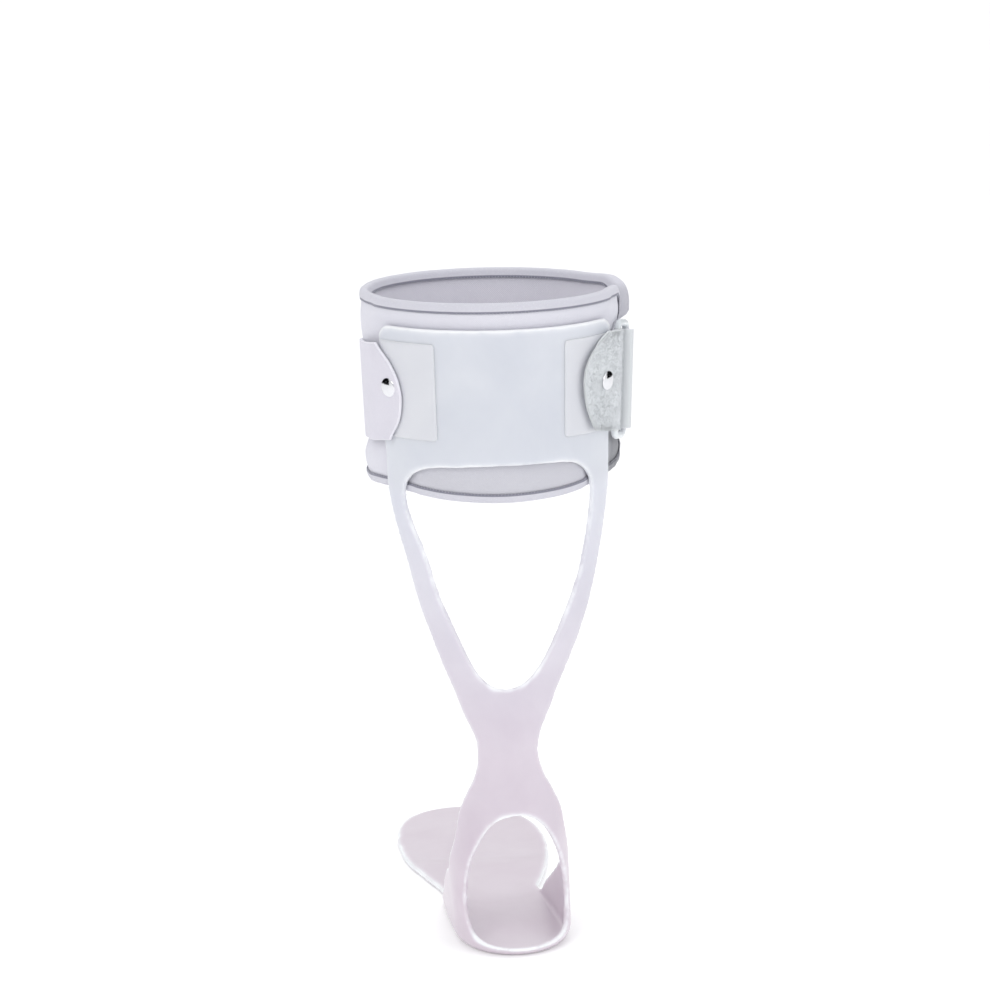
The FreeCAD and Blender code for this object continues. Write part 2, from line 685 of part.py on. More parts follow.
def rivet_parts(name, side):
    point, normal = rivet_axis(side)
    seat = CAP_SEAT[name]
    base = point + normal * seat
    dome_r = (CAP_R ** 2 + CAP_H ** 2) / (2 * CAP_H)
    dome = Part.makeSphere(dome_r, base - normal * (dome_r - CAP_H))
    foot = -SHELL_T - HOOK_T
    washer = Part.makeCylinder(WASHER_R, WASHER_T, point + normal * foot, normal)
    bore = Part.makeCylinder(POST_R + WASHER_CLEAR, 2, point + normal * (foot - 0.5), normal)
    return {
        "rivet_cap_" + name:
            dome.common(Part.makeCylinder(CAP_R - CAP_TRIM, CAP_H + 1, base, normal)),
        "rivet_post_" + name:
            Part.makeCylinder(POST_R, seat - foot - 0.02, point + normal * foot, normal),
        "rivet_washer_" + name: washer.cut(bore),
    }


parts = shell_parts()
parts.update(pad_parts())
parts["strap_web"] = strap_web()
parts["strap_flap"] = band_solid(flap_column, FLAP_ROWS, STRAP_T)
parts["flap_hook_patch"] = flap_hook_patch()
parts["chafe_tab"] = chafe_tab()
parts["strap_ring"] = strap_ring()
for name, side in SIDES:
    parts["liner_hook_square_" + name] = hook_square(side)
    parts["cuff_patch_" + name] = cuff_patch(side)
    parts.update(rivet_parts(name, side))

for name, shape in parts.items():
    if len(shape.Solids) == 1:
        shape = shape.Solids[0]
    shape.exportStep("parts/" + name + ".step")
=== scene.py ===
"""Moulded lower-leg and foot brace: a thin plastic calf cuff, leaf spring and foot shell, with a
padded sleeve inside the cuff, and a strap that runs round the front of the leg to a ring.

It stands on z = 0 with its toes towards +Y, its back towards -Y and its right side at +X. Shapes
are worked out in millimetres and turned to metres on building. Places on the leg are given as
height z and an angle phi in
degrees: 0 is the middle of the back, +90 the right side, -90 the left side, -180 the front.
"""
import bpy
import bmesh
import math
import random
import numpy as np
from mathutils import Vector as V, Matrix, noise


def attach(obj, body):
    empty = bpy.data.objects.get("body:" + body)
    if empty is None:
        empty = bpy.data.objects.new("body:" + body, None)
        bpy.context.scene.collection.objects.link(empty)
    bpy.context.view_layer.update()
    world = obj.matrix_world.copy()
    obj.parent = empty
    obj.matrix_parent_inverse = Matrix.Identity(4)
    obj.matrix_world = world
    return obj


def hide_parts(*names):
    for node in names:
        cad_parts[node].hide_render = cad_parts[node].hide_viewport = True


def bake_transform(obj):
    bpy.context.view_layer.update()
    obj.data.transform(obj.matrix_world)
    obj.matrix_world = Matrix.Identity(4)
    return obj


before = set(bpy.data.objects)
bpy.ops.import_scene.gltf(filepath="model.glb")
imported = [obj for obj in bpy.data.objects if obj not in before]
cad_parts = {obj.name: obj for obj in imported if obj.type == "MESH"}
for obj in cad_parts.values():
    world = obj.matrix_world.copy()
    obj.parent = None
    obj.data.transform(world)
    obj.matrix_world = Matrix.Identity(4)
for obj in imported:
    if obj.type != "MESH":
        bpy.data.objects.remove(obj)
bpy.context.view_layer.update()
scene = bpy.context.scene
MM = 0.001


# ---------------------------------------------------------------------------
# curves and the leg surface
# ---------------------------------------------------------------------------

class Curve:
    """Monotone cubic through (x, value) stations, held level beyond both ends."""

    def __init__(self, stations):
        self.x = [float(station[0]) for station in stations]
        self.y = [float(station[1]) for station in stations]
        steps = [b - a for a, b in zip(self.x, self.x[1:])]
        chords = [(b - a) / step for a, b, step in zip(self.y, self.y[1:], steps)]
        self.slopes = [0.0] * len(stations)
        self.slopes[0], self.slopes[-1] = chords[0], chords[-1]
        for i in range(1, len(chords)):
            if chords[i - 1] * chords[i] > 0:
                before = 2 * steps[i] + steps[i - 1]
                after = steps[i] + 2 * steps[i - 1]
                self.slopes[i] = (before + after) / (before / chords[i - 1] + after / chords[i])

    def __call__(self, x):
        x = min(max(x, self.x[0]), self.x[-1])
        i = 0
        while i < len(self.x) - 2 and x > self.x[i + 1]:
            i += 1
        step = self.x[i + 1] - self.x[i]
        share = (x - self.x[i]) / step
        rest = 1 - share
        return ((1 + 2 * share) * rest ** 2 * self.y[i]
                + share * rest ** 2 * step * self.slopes[i]
                + share * share * (3 - 2 * share) * self.y[i + 1]
                + share * share * (share - 1) * step * self.slopes[i + 1])


# (z, half width across x)
HALF_WIDTH = Curve([
    (0, 30.3), (10, 30.5), (30, 31.3), (50, 31.8), (80, 32.6), (107, 34.5), (140, 40),
    (170, 47.2), (205, 55.9), (235, 62.8), (250, 64.8), (290, 66.2), (320, 67), (345, 67.8)])
# (z, y of the back)
BACK_Y = Curve([
    (0, -33), (45, -33), (60, -32), (80, -28.5), (107, -24), (140, -26.5), (170, -32),
    (205, -41.5), (235, -50), (250, -53.5), (290, -57.5), (320, -59.5), (345, -61)])
# (z, y of the section's centre)
CENTRE_Y = Curve([(0, 0), (60, 0), (107, 6), (140, 8), (205, 9), (250, 8), (345, 4)])
# (z, reach of the front ahead of the centre)
FRONT_REACH = Curve([
    (0, 150), (40, 150), (80, 120), (140, 80), (205, 57), (250, 58.2), (290, 60.7), (345, 64)])
# (z, sideways shift)
CENTRE_X = Curve([
    (0, 3.2), (10, 3.0), (20, 2.4), (45, 0.9), (60, 0.3), (107, -0.46), (120, -0.48),
    (130, -0.26), (147, 0.33), (171, 0.82), (192, 0.35), (202, 0.15), (212, -0.3),
    (223, -1.05), (239, -2.0), (250, -2.4), (345, -3.6)])
# (z, turn about the vertical in degrees, counter-clockwise from above)
TURN = Curve([(0, 5), (60, 5), (107, 2.5), (150, 0), (345, 0)])


def surf(z, phi, out=0.0):
    """Point on the leg surface, moved out by out mm."""
    angle = math.radians(phi)
    cosine = math.cos(angle)
    x = (HALF_WIDTH(z) + out) * math.sin(angle)
    reach = CENTRE_Y(z) - BACK_Y(z) if cosine >= 0 else FRONT_REACH(z)
    y = CENTRE_Y(z) - (reach + out) * cosine
    turn = math.radians(TURN(z))
    return V((CENTRE_X(z) + x * math.cos(turn) - y * math.sin(turn),
              x * math.sin(turn) + y * math.cos(turn), z))


def ease(value, start, end):
    """0 up to start, 1 past end, eased between. The end may lie below the start."""
    share = min(max((value - start) / (end - start), 0.0), 1.0)
    return share * share * (3 - 2 * share)


def span(first, last, count):
    return [first + (last - first) * i / (count - 1.0) for i in range(count)]


def corner_cut(distance, radius):
    """How far a rounded corner draws an edge in, at a distance from the corner's end."""
    if distance >= radius:
        return 0.0
    return radius - math.sqrt(max(radius * radius - (radius - distance) ** 2, 0.0))


# ---------------------------------------------------------------------------
# mesh helpers
# ---------------------------------------------------------------------------

def link_mesh(name, mesh):
    piece = bpy.data.objects.new(name, mesh)
    scene.collection.objects.link(piece)
    return piece


def make_object(name, verts, faces, materials, uvs=None, face_materials=None):
    """Smooth-shaded object from points in metres, with one UV per vertex."""
    mesh = bpy.data.meshes.new(name)
    mesh.from_pydata([tuple(vert) for vert in verts], [], faces)
    if uvs is not None:
        layer = mesh.uv_layers.new(name="along")
        loop_vert = np.zeros(len(mesh.loops), np.int32)
        mesh.loops.foreach_get("vertex_index", loop_vert)
        layer.data.foreach_set("uv", np.asarray(uvs, np.float32)[loop_vert].ravel())
    for material in materials:
        mesh.materials.append(material)
    if face_materials is not None:
        mesh.polygons.foreach_set("material_index", np.asarray(face_materials, np.int32))
    mesh.polygons.foreach_set("use_smooth", [True] * len(mesh.polygons))
    mesh.validate()
    mesh.update()
    return link_mesh(name, mesh)


def point_values(mesh, name, values):
    attribute = mesh.attributes.new(name, "FLOAT", "POINT")
    attribute.data.foreach_set("value", np.asarray(values, np.float32))


def finish_faces(piece, bevel=0.0, segments=3):
    """Turn the faces outward and round the sharp edges by bevel mm."""
    bm = bmesh.new()
    bm.from_mesh(piece.data)
    bmesh.ops.recalc_face_normals(bm, faces=bm.faces)
    if bevel:
        sharp = [edge for edge in bm.edges
                 if len(edge.link_faces) == 2 and edge.calc_face_angle() > math.radians(50)]
        bmesh.ops.bevel(bm, geom=sharp, offset=bevel * MM, segments=segments, profile=0.5,
                        affect="EDGES", clamp_overlap=True)
    for face in bm.faces:
        face.smooth = True
    bm.to_mesh(piece.data)
    bm.free()


def sheet_faces(rows, cols, closed=False):
    """Faces of two stacked grids joined round their borders. closed joins last row to first."""
    def at(i, j, layer):
        return (i % rows) * cols + j + layer * rows * cols

    faces = []
    end = cols - 1
    for i in range(rows if closed else rows - 1):
        for j in range(end):
            faces.append((at(i, j, 0), at(i + 1, j, 0), at(i + 1, j + 1, 0), at(i, j + 1, 0)))
            faces.append((at(i, j, 1), at(i, j + 1, 1), at(i + 1, j + 1, 1), at(i + 1, j, 1)))
        faces.append((at(i, 0, 0), at(i, 0, 1), at(i + 1, 0, 1), at(i + 1, 0, 0)))
        faces.append((at(i, end, 0), at(i + 1, end, 0), at(i + 1, end, 1), at(i, end, 1)))
    if not closed:
        end = rows - 1
        for j in range(cols - 1):
            faces.append((at(0, j, 0), at(0, j + 1, 0), at(0, j + 1, 1), at(0, j, 1)))
            faces.append((at(end, j, 0), at(end, j, 1), at(end, j + 1, 1), at(end, j + 1, 0)))
    return faces


def tube_faces(base, rings, sides):
    """Faces of a capped tube whose rings of points start at index base."""
    faces = []
    for i in range(rings - 1):
        low, high = base + i * sides, base + (i + 1) * sides
        for q in range(sides):
            turn = (q + 1) % sides
            faces.append((low + q, low + turn, high + turn, high + q))
    faces.append(tuple(base + q for q in reversed(range(sides))))
    faces.append(tuple(base + (rings - 1) * sides + q for q in range(sides)))
    return faces


def ring_points(centre, across, up, radius, sides):
    points = []
    for q in range(sides):
        angle = 2 * math.pi * q / sides
        offset = (across * math.cos(angle) + up * math.sin(angle)) * radius
        points.append(tuple((centre + offset) * MM))
    return points


def normals_of(mid, closed=False):
    """Unit normals of a (rows, columns, 3) grid."""
    if closed:
        along = np.roll(mid, -1, 0) - np.roll(mid, 1, 0)
    else:
        along = np.gradient(mid, axis=0)
    normal = np.cross(along, np.gradient(mid, axis=1))
    return normal / np.maximum(np.linalg.norm(normal, axis=2, keepdims=True), 1e-12)


def path_length(points):
    steps = np.linalg.norm(np.diff(points, axis=0), axis=1)
    return np.concatenate([[0], np.cumsum(steps)])


def slab(name, mid, low, high, material, bevel, closed=False, relief=0.0, segments=3,
         painted_shade=None, rim_ends=(1, 1)):
    """Closed sheet between the offsets low and high (mm) along the normals of a grid (mm).

    relief adds to the high side. The attribute "rim" is 1 on the long borders and, as
    rim_ends says, on the first and last rows. Painted shading for the cloth, where given,
    fills an attribute named like its argument.
    """
    rows, cols = mid.shape[:2]
    normal = normals_of(mid, closed)
    lift = high + np.broadcast_to(relief, (rows, cols))[..., None]
    verts = np.concatenate([((mid + normal * lift) * MM).reshape(-1, 3),
                            ((mid + normal * low) * MM).reshape(-1, 3)])
    along = path_length(mid[:, cols // 2])
    across = path_length(mid[rows // 2])
    uv = np.stack(np.meshgrid(along, across - across[-1] / 2, indexing="ij"), -1)
    uv = uv.reshape(-1, 2) * MM
    piece = make_object(name, verts, sheet_faces(rows, cols, closed), [material],
                        np.concatenate([uv, uv]))
    rim = np.zeros((rows, cols))
    rim[:, [0, -1]] = 1
    if not closed:
        rim[0] = np.maximum(rim[0], rim_ends[0])
        rim[-1] = np.maximum(rim[-1], rim_ends[1])
    point_values(piece.data, "rim", np.tile(rim.ravel(), 2))
    if painted_shade is not None:
        painted_shade = np.broadcast_to(painted_shade, (rows, cols)).ravel()
        point_values(piece.data, "painted_shade", np.tile(painted_shade, 2))
    finish_faces(piece, bevel, segments)
    return piece


# ---------------------------------------------------------------------------
# materials
# ---------------------------------------------------------------------------

class Shader:
    """A material under construction. Inputs take either a socket or a plain value."""

    def __init__(self, name):
        self.material = bpy.data.materials.new(name)
        self.material.use_nodes = True
        self.tree = self.material.node_tree
        self.tree.nodes.clear()
        self.output = self.tree.nodes.new("ShaderNodeOutputMaterial")

    def node(self, kind, inputs=None, **settings):
        node = self.tree.nodes.new(kind)
        for key, value in settings.items():
            setattr(node, key, value)
        for key, value in (inputs or {}).items():
            socket = node.inputs[key]
            if isinstance(value, bpy.types.NodeSocket):
                self.tree.links.new(value, socket)
            else:
                socket.default_value = (*value, 1) if socket.type == "RGBA" else value
        return node

    def finish(self, surface):
        self.tree.links.new(surface.outputs[0], self.output.inputs["Surface"])
        return self.material

    def coords(self, kind="Object"):
        return self.node("ShaderNodeTexCoord").outputs[kind]

    def axes(self, vector):
        return self.node("ShaderNodeSeparateXYZ", {0: vector}).outputs

    def attribute(self, name):
        return self.node("ShaderNodeAttribute", attribute_name=name).outputs["Fac"]

    def noise(self, vector, scale, detail=3.0, rough=0.5, distortion=0.0):
        return self.node("ShaderNodeTexNoise", {
            "Scale": scale, "Detail": detail, "Roughness": rough, "Distortion": distortion,
            "Vector": vector}).outputs["Fac"]

    def ramp(self, fac, stops):
        """Grey ramp through (position, value) stops."""
        ramp = self.node("ShaderNodeValToRGB", {"Fac": fac})
        elements = ramp.color_ramp.elements
        while len(elements) < len(stops):
            elements.new(0.5)
        for element, (position, value) in zip(elements, stops):
            element.position = position
            element.color = (value, value, value, 1)
        return ramp.outputs["Color"]

    def math(self, operation, *values):
        node = self.node("ShaderNodeMath", dict(enumerate(values)), operation=operation)
        return node.outputs[0]

    def mix(self, fac, first, second):
        # sockets 0, 6, 7 and output 2 are the colour set of the Mix node
        node = self.node("ShaderNodeMix", {0: fac, 6: first, 7: second}, data_type="RGBA")
        return node.outputs[2]

    def bump(self, height, distance, strength, normal=None):
        inputs = {"Strength": strength, "Distance": distance, "Height": height}
        if normal is not None:
            inputs["Normal"] = normal
        return self.node("ShaderNodeBump", inputs).outputs["Normal"]


def srgb(*channels):
    def linear(channel):
        share = channel / 255.0
        return share / 12.92 if share <= 0.04045 else ((share + 0.055) / 1.055) ** 2.4
    return tuple(linear(channel) for channel in channels)


TOE_CUT_Y = 0.115       # plane that parts the shell from the front of the sole, m
SKIN_LIGHT_HEIGHT = 0.35      # height over which the painted pink skin light on the plastic gives way to its cool colour, m
HAZE_WHITE = (0.97, 0.975, 0.98)
LINT_WHITE = (0.93, 0.93, 0.95)
# grey that the painted shade on the pad and its edge tape darkens towards
PAINTED_SHADE_GREY = (0.13, 0.135, 0.14)


def plastic(name, cool, skin_light_tint, rim, rough=0.34, sss=0.55, radius=0.006):
    """Milky sheet, cool high and, lower down, tinted by painted pink light from the skin behind
    it: soft depth, haze, a painted highlight along the rim, faint upright scuffs.
    """
    shader = Shader(name)
    place = shader.coords()
    haze = shader.noise(place, scale=22.0, detail=4.0, rough=0.55, distortion=0.3)
    grain = shader.noise(place, scale=900.0, detail=3.0, rough=0.6)
    _, y, z = shader.axes(place)

    # painted pink light from the skin behind the plastic: full at the bottom, gone above about
    # 260 mm
    height = shader.ramp(shader.math("MULTIPLY", z, 1 / SKIN_LIGHT_HEIGHT),
                         [(0.0, 0.0), (0.30, 0.15), (0.75, 1.0)])
    colour = shader.mix(height, skin_light_tint, cool)
    colour = shader.mix(shader.ramp(haze, [(0.3, 0.0), (0.7, 0.35)]), colour,
                        shader.mix(0.5, colour, HAZE_WHITE))
    # painted highlight: the plastic turns paler along its rounded edges, where "rim" is set
    edge = shader.ramp(shader.attribute("rim"), [(0.05, 0.0), (0.75, 1.0)])
    colour = shader.mix(edge, colour, rim)

    # the soft depth fades out beside the toe cut (over 20 mm), but not above 8 mm
    off_cut = shader.math("ABSOLUTE", shader.math("SUBTRACT", y, TOE_CUT_Y))
    off_cut = shader.math("MULTIPLY", off_cut, 1 / 0.02)
    raised = shader.ramp(shader.math("MULTIPLY", z, 1 / 0.01), [(0.55, 0.0), (0.8, 1.0)])
    keep = shader.math("MAXIMUM", shader.ramp(off_cut, [(0.25, 0.0), (0.9, 1.0)]), raised)

    # noise squeezed sideways and drawn out along z
    streaks = shader.node("ShaderNodeMapping", {"Vector": place, "Scale": (900, 900, 60)})
    marks = shader.noise(streaks.outputs[0], scale=1.0, detail=2.0, rough=0.6)
    marks = shader.ramp(marks, [(0.62, 0.0), (0.72, 1.0)])
    roughness = shader.math("ADD", shader.math("MULTIPLY", haze, 0.14), rough - 0.07)
    roughness = shader.math("ADD", roughness, shader.math("MULTIPLY", marks, 0.10))
    roughness = shader.math("ADD", roughness, shader.math("MULTIPLY", edge, 0.12))

    normal = shader.bump(grain, distance=0.00003, strength=0.5)
    swell = shader.noise(place, scale=60.0, detail=2.0, rough=0.5)
    normal = shader.bump(swell, distance=0.0004, strength=0.35, normal=normal)
    return shader.finish(shader.node("ShaderNodeBsdfPrincipled", {
        "Metallic": 0.0,
        "IOR": 1.49,
        "Base Color": colour,
        "Subsurface Weight": shader.math("MULTIPLY", keep, sss),
        "Subsurface Radius": (1.0, 0.98, 1.02),
        "Subsurface Scale": radius,
        "Coat Weight": 0.12,
        "Coat Roughness": 0.18,
        "Roughness": roughness,
        "Normal": normal}))


def woven(name, light, dark, pitch, sheen, rough=0.85, depth=0.00012, fuzz=0.0, coords="UV",
          mottled=0.35, rim=None, seam_shadow=None, blotch=0.0, side=None):
    """Close weave with lint and cloudy shading.

    pitch is the weave's repeat; depth, fuzz and blotch are bump heights (m). rim colours the
    borders; the argument after rim is (distance from the middle line, colour beyond it), a
    painted shadow where the tape's edges meet the pad; side colours +X.
    """
    shader = Shader(name)
    weave_place = shader.coords(coords)
    place = shader.coords()
    turns = 2 * math.pi / pitch
    x, y, z = shader.axes(weave_place)
    wobble = shader.noise(place, scale=160.0, detail=2.0)
    wobble = shader.math("MULTIPLY", shader.math("SUBTRACT", wobble, 0.5), 2.2)
    if coords == "UV":
        directions = (x, y)
    else:
        directions = (shader.math("ADD", x, y), z)
    warp, weft = [
        shader.math("SINE", shader.math("ADD", shader.math("MULTIPLY", way, turns), wobble))
        for way in directions]
    weave = shader.math("MULTIPLY", warp, weft)
    weave = shader.math("ADD", shader.math("MULTIPLY", weave, 0.5), 0.5)
    lint = shader.noise(place, scale=1400.0, detail=4.0, rough=0.7)
    cloud = shader.noise(place, scale=45.0, detail=4.0, rough=0.6)

    colour = shader.mix(shader.ramp(weave, [(0.05, 0.0), (0.6, 1.0)]), dark, light)
    colour = shader.mix(shader.ramp(cloud, [(0.35, mottled), (0.65, 0.0)]), colour,
                        shader.mix(0.5, colour, dark))
    colour = shader.mix(shader.ramp(lint, [(0.55, 0.0), (0.75, 0.4)]), colour, LINT_WHITE)
    if side is not None:
        # starts at x = 50 mm and is full at 62 mm
        rightward = shader.math("MULTIPLY", shader.axes(place)["X"], 1 / 0.1)
        colour = shader.mix(shader.ramp(rightward, [(0.50, 0.0), (0.62, 0.75)]), colour, side)
    if rim is not None:
        edge = shader.ramp(shader.attribute("rim"), [(0.25, 0.0), (0.8, 1.0)])
        colour = shader.mix(shader.math("MULTIPLY", edge, 0.85), colour, rim)
    if seam_shadow is not None:
        # painted shadow where the tape's edges meet the pad, coming in over the first half of
        # 0.6 mm
        beyond = shader.math("SUBTRACT", shader.math("ABSOLUTE", y), seam_shadow[0])
        beyond = shader.math("MULTIPLY", beyond, 1 / 0.0006)
        colour = shader.mix(shader.ramp(beyond, [(0.0, 0.0), (0.5, 0.9)]), colour, seam_shadow[1])
    # painted shade: the pad and its tape darken towards grey as their attribute of painted shade
    # says
    colour = shader.mix(shader.attribute("painted_shade"), colour, PAINTED_SHADE_GREY)

    normal = shader.bump(weave, distance=depth, strength=0.8)
    normal = shader.bump(lint, distance=0.00008 + fuzz, strength=1.0 if fuzz else 0.6,
                         normal=normal)
    normal = shader.bump(cloud, distance=0.0006, strength=0.35, normal=normal)
    if blotch:
        lumps = shader.noise(place, scale=520.0, detail=3.0, rough=0.6, distortion=0.6)
        normal = shader.bump(lumps, distance=blotch, strength=0.7, normal=normal)
    return shader.finish(shader.node("ShaderNodeBsdfPrincipled", {
        "Roughness": rough,
        "Base Color": colour,
        "Sheen Weight": sheen,
        "Sheen Roughness": 0.45,
        "Sheen Tint": (0.95, 0.95, 1.0),
        "Specular IOR Level": 0.25,
        "Normal": normal}))


def metal(name, colour, rough, aniso=0.0):
    """Metal with a fine smear in its colour and gloss."""
    shader = Shader(name)
    smear = shader.noise(shader.coords(), scale=700.0, detail=3.0, rough=0.6)
    darker = tuple(channel * 0.8 for channel in colour)
    return shader.finish(shader.node("ShaderNodeBsdfPrincipled", {
        "Metallic": 1.0,
        "Base Color": shader.mix(shader.ramp(smear, [(0.35, 0.0), (0.75, 0.3)]),
                                 colour, darker),
        "Roughness": shader.math("ADD", shader.math("MULTIPLY", smear, 0.10), rough),
        "Anisotropic": aniso,
        "Normal": shader.bump(smear, distance=0.00002, strength=0.3)}))


SEAM_SHADOW_OFFSET = 0.0049    # from the middle line of the edge tape to the painted shadow along its borders, m
# Each plastic's rim colour is a painted highlight; its warm colour is painted pink skin light.
POLYPROPYLENE = plastic("polypropylene", cool=srgb(203, 206, 215), skin_light_tint=srgb(201, 189, 199),
                        rim=srgb(238, 239, 243))
PATCH = plastic("patch_plastic", cool=srgb(213, 214, 222), skin_light_tint=srgb(213, 214, 222),
                rim=srgb(234, 235, 240), rough=0.30, sss=0.35, radius=0.003)
RING = plastic("ring_plastic", cool=srgb(214, 218, 221), skin_light_tint=srgb(214, 218, 221),
               rim=srgb(230, 232, 235), rough=0.28, sss=0.6, radius=0.004)
COVER = woven("pad_cover_fabric", light=srgb(224, 223, 231), dark=srgb(206, 205, 215),
              pitch=0.0009, sheen=0.4, fuzz=0.00005)
LINING = woven("pad_lining_fabric", light=srgb(214, 212, 220), dark=srgb(193, 191, 202),
               pitch=0.0011, sheen=0.5, fuzz=0.0001)
# the edge tape's darker borders are a painted shadow where its edges meet the pad
BINDING = woven("pad_binding_tape", light=srgb(214, 213, 221), dark=srgb(192, 191, 202),
                pitch=0.0006, sheen=0.3, seam_shadow=(SEAM_SHADOW_OFFSET, srgb(118, 118, 132)))
THREAD = woven("stitch_thread", light=srgb(196, 196, 206), dark=srgb(150, 150, 162),
               pitch=0.0004, sheen=0.2, coords="Object")
STRAP = woven("strap_fabric", light=srgb(220, 217, 226), dark=srgb(205, 203, 214),
              pitch=0.0005, sheen=0.25, depth=0.00006, mottled=0.2,
              rim=srgb(238, 237, 243), side=srgb(212, 217, 217))
LOOP = woven("loop_fabric", light=srgb(236, 239, 241), dark=srgb(204, 209, 213),
             pitch=0.0010, sheen=0.8, rough=0.95, fuzz=0.0003, mottled=0.6,
             rim=srgb(240, 243, 243), blotch=0.00045)
FIBRE = woven("loop_fibres", light=srgb(242, 245, 246), dark=srgb(218, 222, 225),
              pitch=0.0006, sheen=0.8, rough=0.9, coords="Object")
HOOK = woven("hook_tape", light=srgb(226, 226, 228), dark=srgb(190, 190, 194),
             pitch=0.0014, sheen=0.1, coords="Object", depth=0.0003)
CHROME = metal("rivet_chrome", colour=(0.80, 0.80, 0.83), rough=0.05)
STEEL = metal("rivet_steel", colour=(0.55, 0.55, 0.57), rough=0.28, aniso=0.4)


# ---------------------------------------------------------------------------
# moulded shell: the CAD solids joined, with rounded edges, then cut at the toes
# ---------------------------------------------------------------------------

def joined_copy(name, nodes):
    bm = bmesh.new()
    for node in nodes:
        bm.from_mesh(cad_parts[node].data)
    mesh = bpy.data.meshes.new(name)
    bm.to_mesh(mesh)
    bm.free()
    return link_mesh(name, mesh)


def evaluated(piece):
    graph = bpy.context.evaluated_depsgraph_get()
    return bpy.data.meshes.new_from_object(piece.evaluated_get(graph), depsgraph=graph)


def paint_rim_highlight_mask(mesh):
    """Attribute "rim": 1 along the rounded edges of the sheet, fading out onto its faces, where
    the plastic paints its highlight.
    """
    count = len(mesh.vertices)
    place = np.zeros(count * 3)
    normal = np.zeros(count * 3)
    mesh.vertices.foreach_get("co", place)
    mesh.vertices.foreach_get("normal", normal)
    place, normal = place.reshape(-1, 3), normal.reshape(-1, 3)
    edges = np.zeros(len(mesh.edges) * 2, np.int64)
    mesh.edges.foreach_get("vertices", edges)
    edges = edges.reshape(-1, 2)
    degree = np.bincount(edges.ravel(), minlength=count).astype(float)

    def around(values):
        """Mean over each vertex's neighbours."""
        total = np.zeros_like(values)
        np.add.at(total, edges[:, 0], values[edges[:, 1]])
        np.add.at(total, edges[:, 1], values[edges[:, 0]])
        return total / (degree[:, None] if values.ndim == 2 else degree)

    def spread(values, times):
        for _ in range(times):
            values = 0.5 * values + 0.5 * around(values)
        return values

    bend = spread(np.einsum("ij,ij->i", place - around(place), normal), 3)
    spacing = np.median(np.linalg.norm(place[edges[:, 0]] - place[edges[:, 1]], axis=1))
    # curvature from 260 to 500 per metre counts as edge
    tight = spread(np.clip((bend * 4 / spacing ** 2 - 260.0) / 240.0, 0, 1), 7)
    near = np.clip(tight * 2.3, 0, 1)
    far = 0.45 * np.clip(spread(tight, 14) * 3.0, 0, 1)
    point_values(mesh, "rim", np.maximum(near, far))


def cut_part(mesh, name, keep_rear):
    """The part of a mesh behind or ahead of the toe cut, with its open end filled."""
    bm = bmesh.new()
    bm.from_mesh(mesh)
    cut = bmesh.ops.bisect_plane(
        bm, geom=bm.verts[:] + bm.edges[:] + bm.faces[:], plane_co=(0, TOE_CUT_Y, 0),
        plane_no=(0, 1, 0), clear_outer=keep_rear, clear_inner=not keep_rear, dist=1e-7)
    edges = [item for item in cut["geom_cut"] if isinstance(item, bmesh.types.BMEdge)]
    bmesh.ops.holes_fill(bm, edges=edges, sides=0)
    bmesh.ops.recalc_face_normals(bm, faces=bm.faces)
    for face in bm.faces:
        face.smooth = len(face.verts) <= 5
    part = bpy.data.meshes.new(name)
    bm.to_mesh(part)
    bm.free()
    part.materials.append(POLYPROPYLENE)
    return link_mesh(name, part)


def build_shell():
    raw = joined_copy("shell_raw", ["calf_shell", "neck_leaf_spring", "foot_shell",
                                    "toe_flex_strip", "toe_plate"])
    remesh = raw.modifiers.new("remesh", "REMESH")
    remesh.mode = "VOXEL"
    remesh.voxel_size = 0.00085
    remesh.use_smooth_shade = True
    smoothing = raw.modifiers.new("smooth", "SMOOTH")
    smoothing.factor = 0.5
    smoothing.iterations = 14
    mesh = evaluated(raw)
    bpy.data.objects.remove(raw)
    paint_rim_highlight_mask(mesh)
    return cut_part(mesh, "moulded_shell", True), cut_part(mesh, "sole_front", False)


shell, sole = build_shell()
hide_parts("calf_shell", "neck_leaf_spring", "foot_shell")
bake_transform(shell)
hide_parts("toe_flex_strip", "toe_plate")
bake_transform(sole)

# ---------------------------------------------------------------------------
# strap, ring and tab layout
# ---------------------------------------------------------------------------
STRAP_T, TAB_T, PATCH_T, HOOK_T = 1.5, 1.1, 0.75, 0.9   # thicknesses
PATCH_LIFT = 0.04                # from the cuff's surface to the patch
PATCH_TOP = PATCH_LIFT + PATCH_T
PAD_GAP = 3.95                   # pad surface inside the cuff's outer surface
PAD_CLEAR = 0.85                 # strap over the pad surface
TAB_GAP = 0.32                   # inner tab layer over the patch
LAYER_GAP = 0.08                 # between stacked layers
RIVET_PHI, RIVET_Z = 51.5, 300.4

# the ring's two upright bars lean forward at the top by SLOPE, on the right side
SLOPE = math.radians(8.0)
BAR_R = 1.75
RING_PHI, RING_Z, RING_OFF, RING_REACH = 65.0, 297.9, 0.4, 14.0
LEVEL_FORWARD = V((0.413, 0.911, 0)).normalized()
RING_FORWARD = LEVEL_FORWARD * math.cos(SLOPE) - V((0, 0, 1)) * math.sin(SLOPE)
RING_UP = V((0, 0, 1)) * math.cos(SLOPE) + LEVEL_FORWARD * math.sin(SLOPE)
RING_OUT = RING_FORWARD.cross(RING_UP)
REAR_BAR = surf(RING_Z, RING_PHI, RING_OFF)
FRONT_BAR = REAR_BAR + RING_FORWARD * RING_REACH

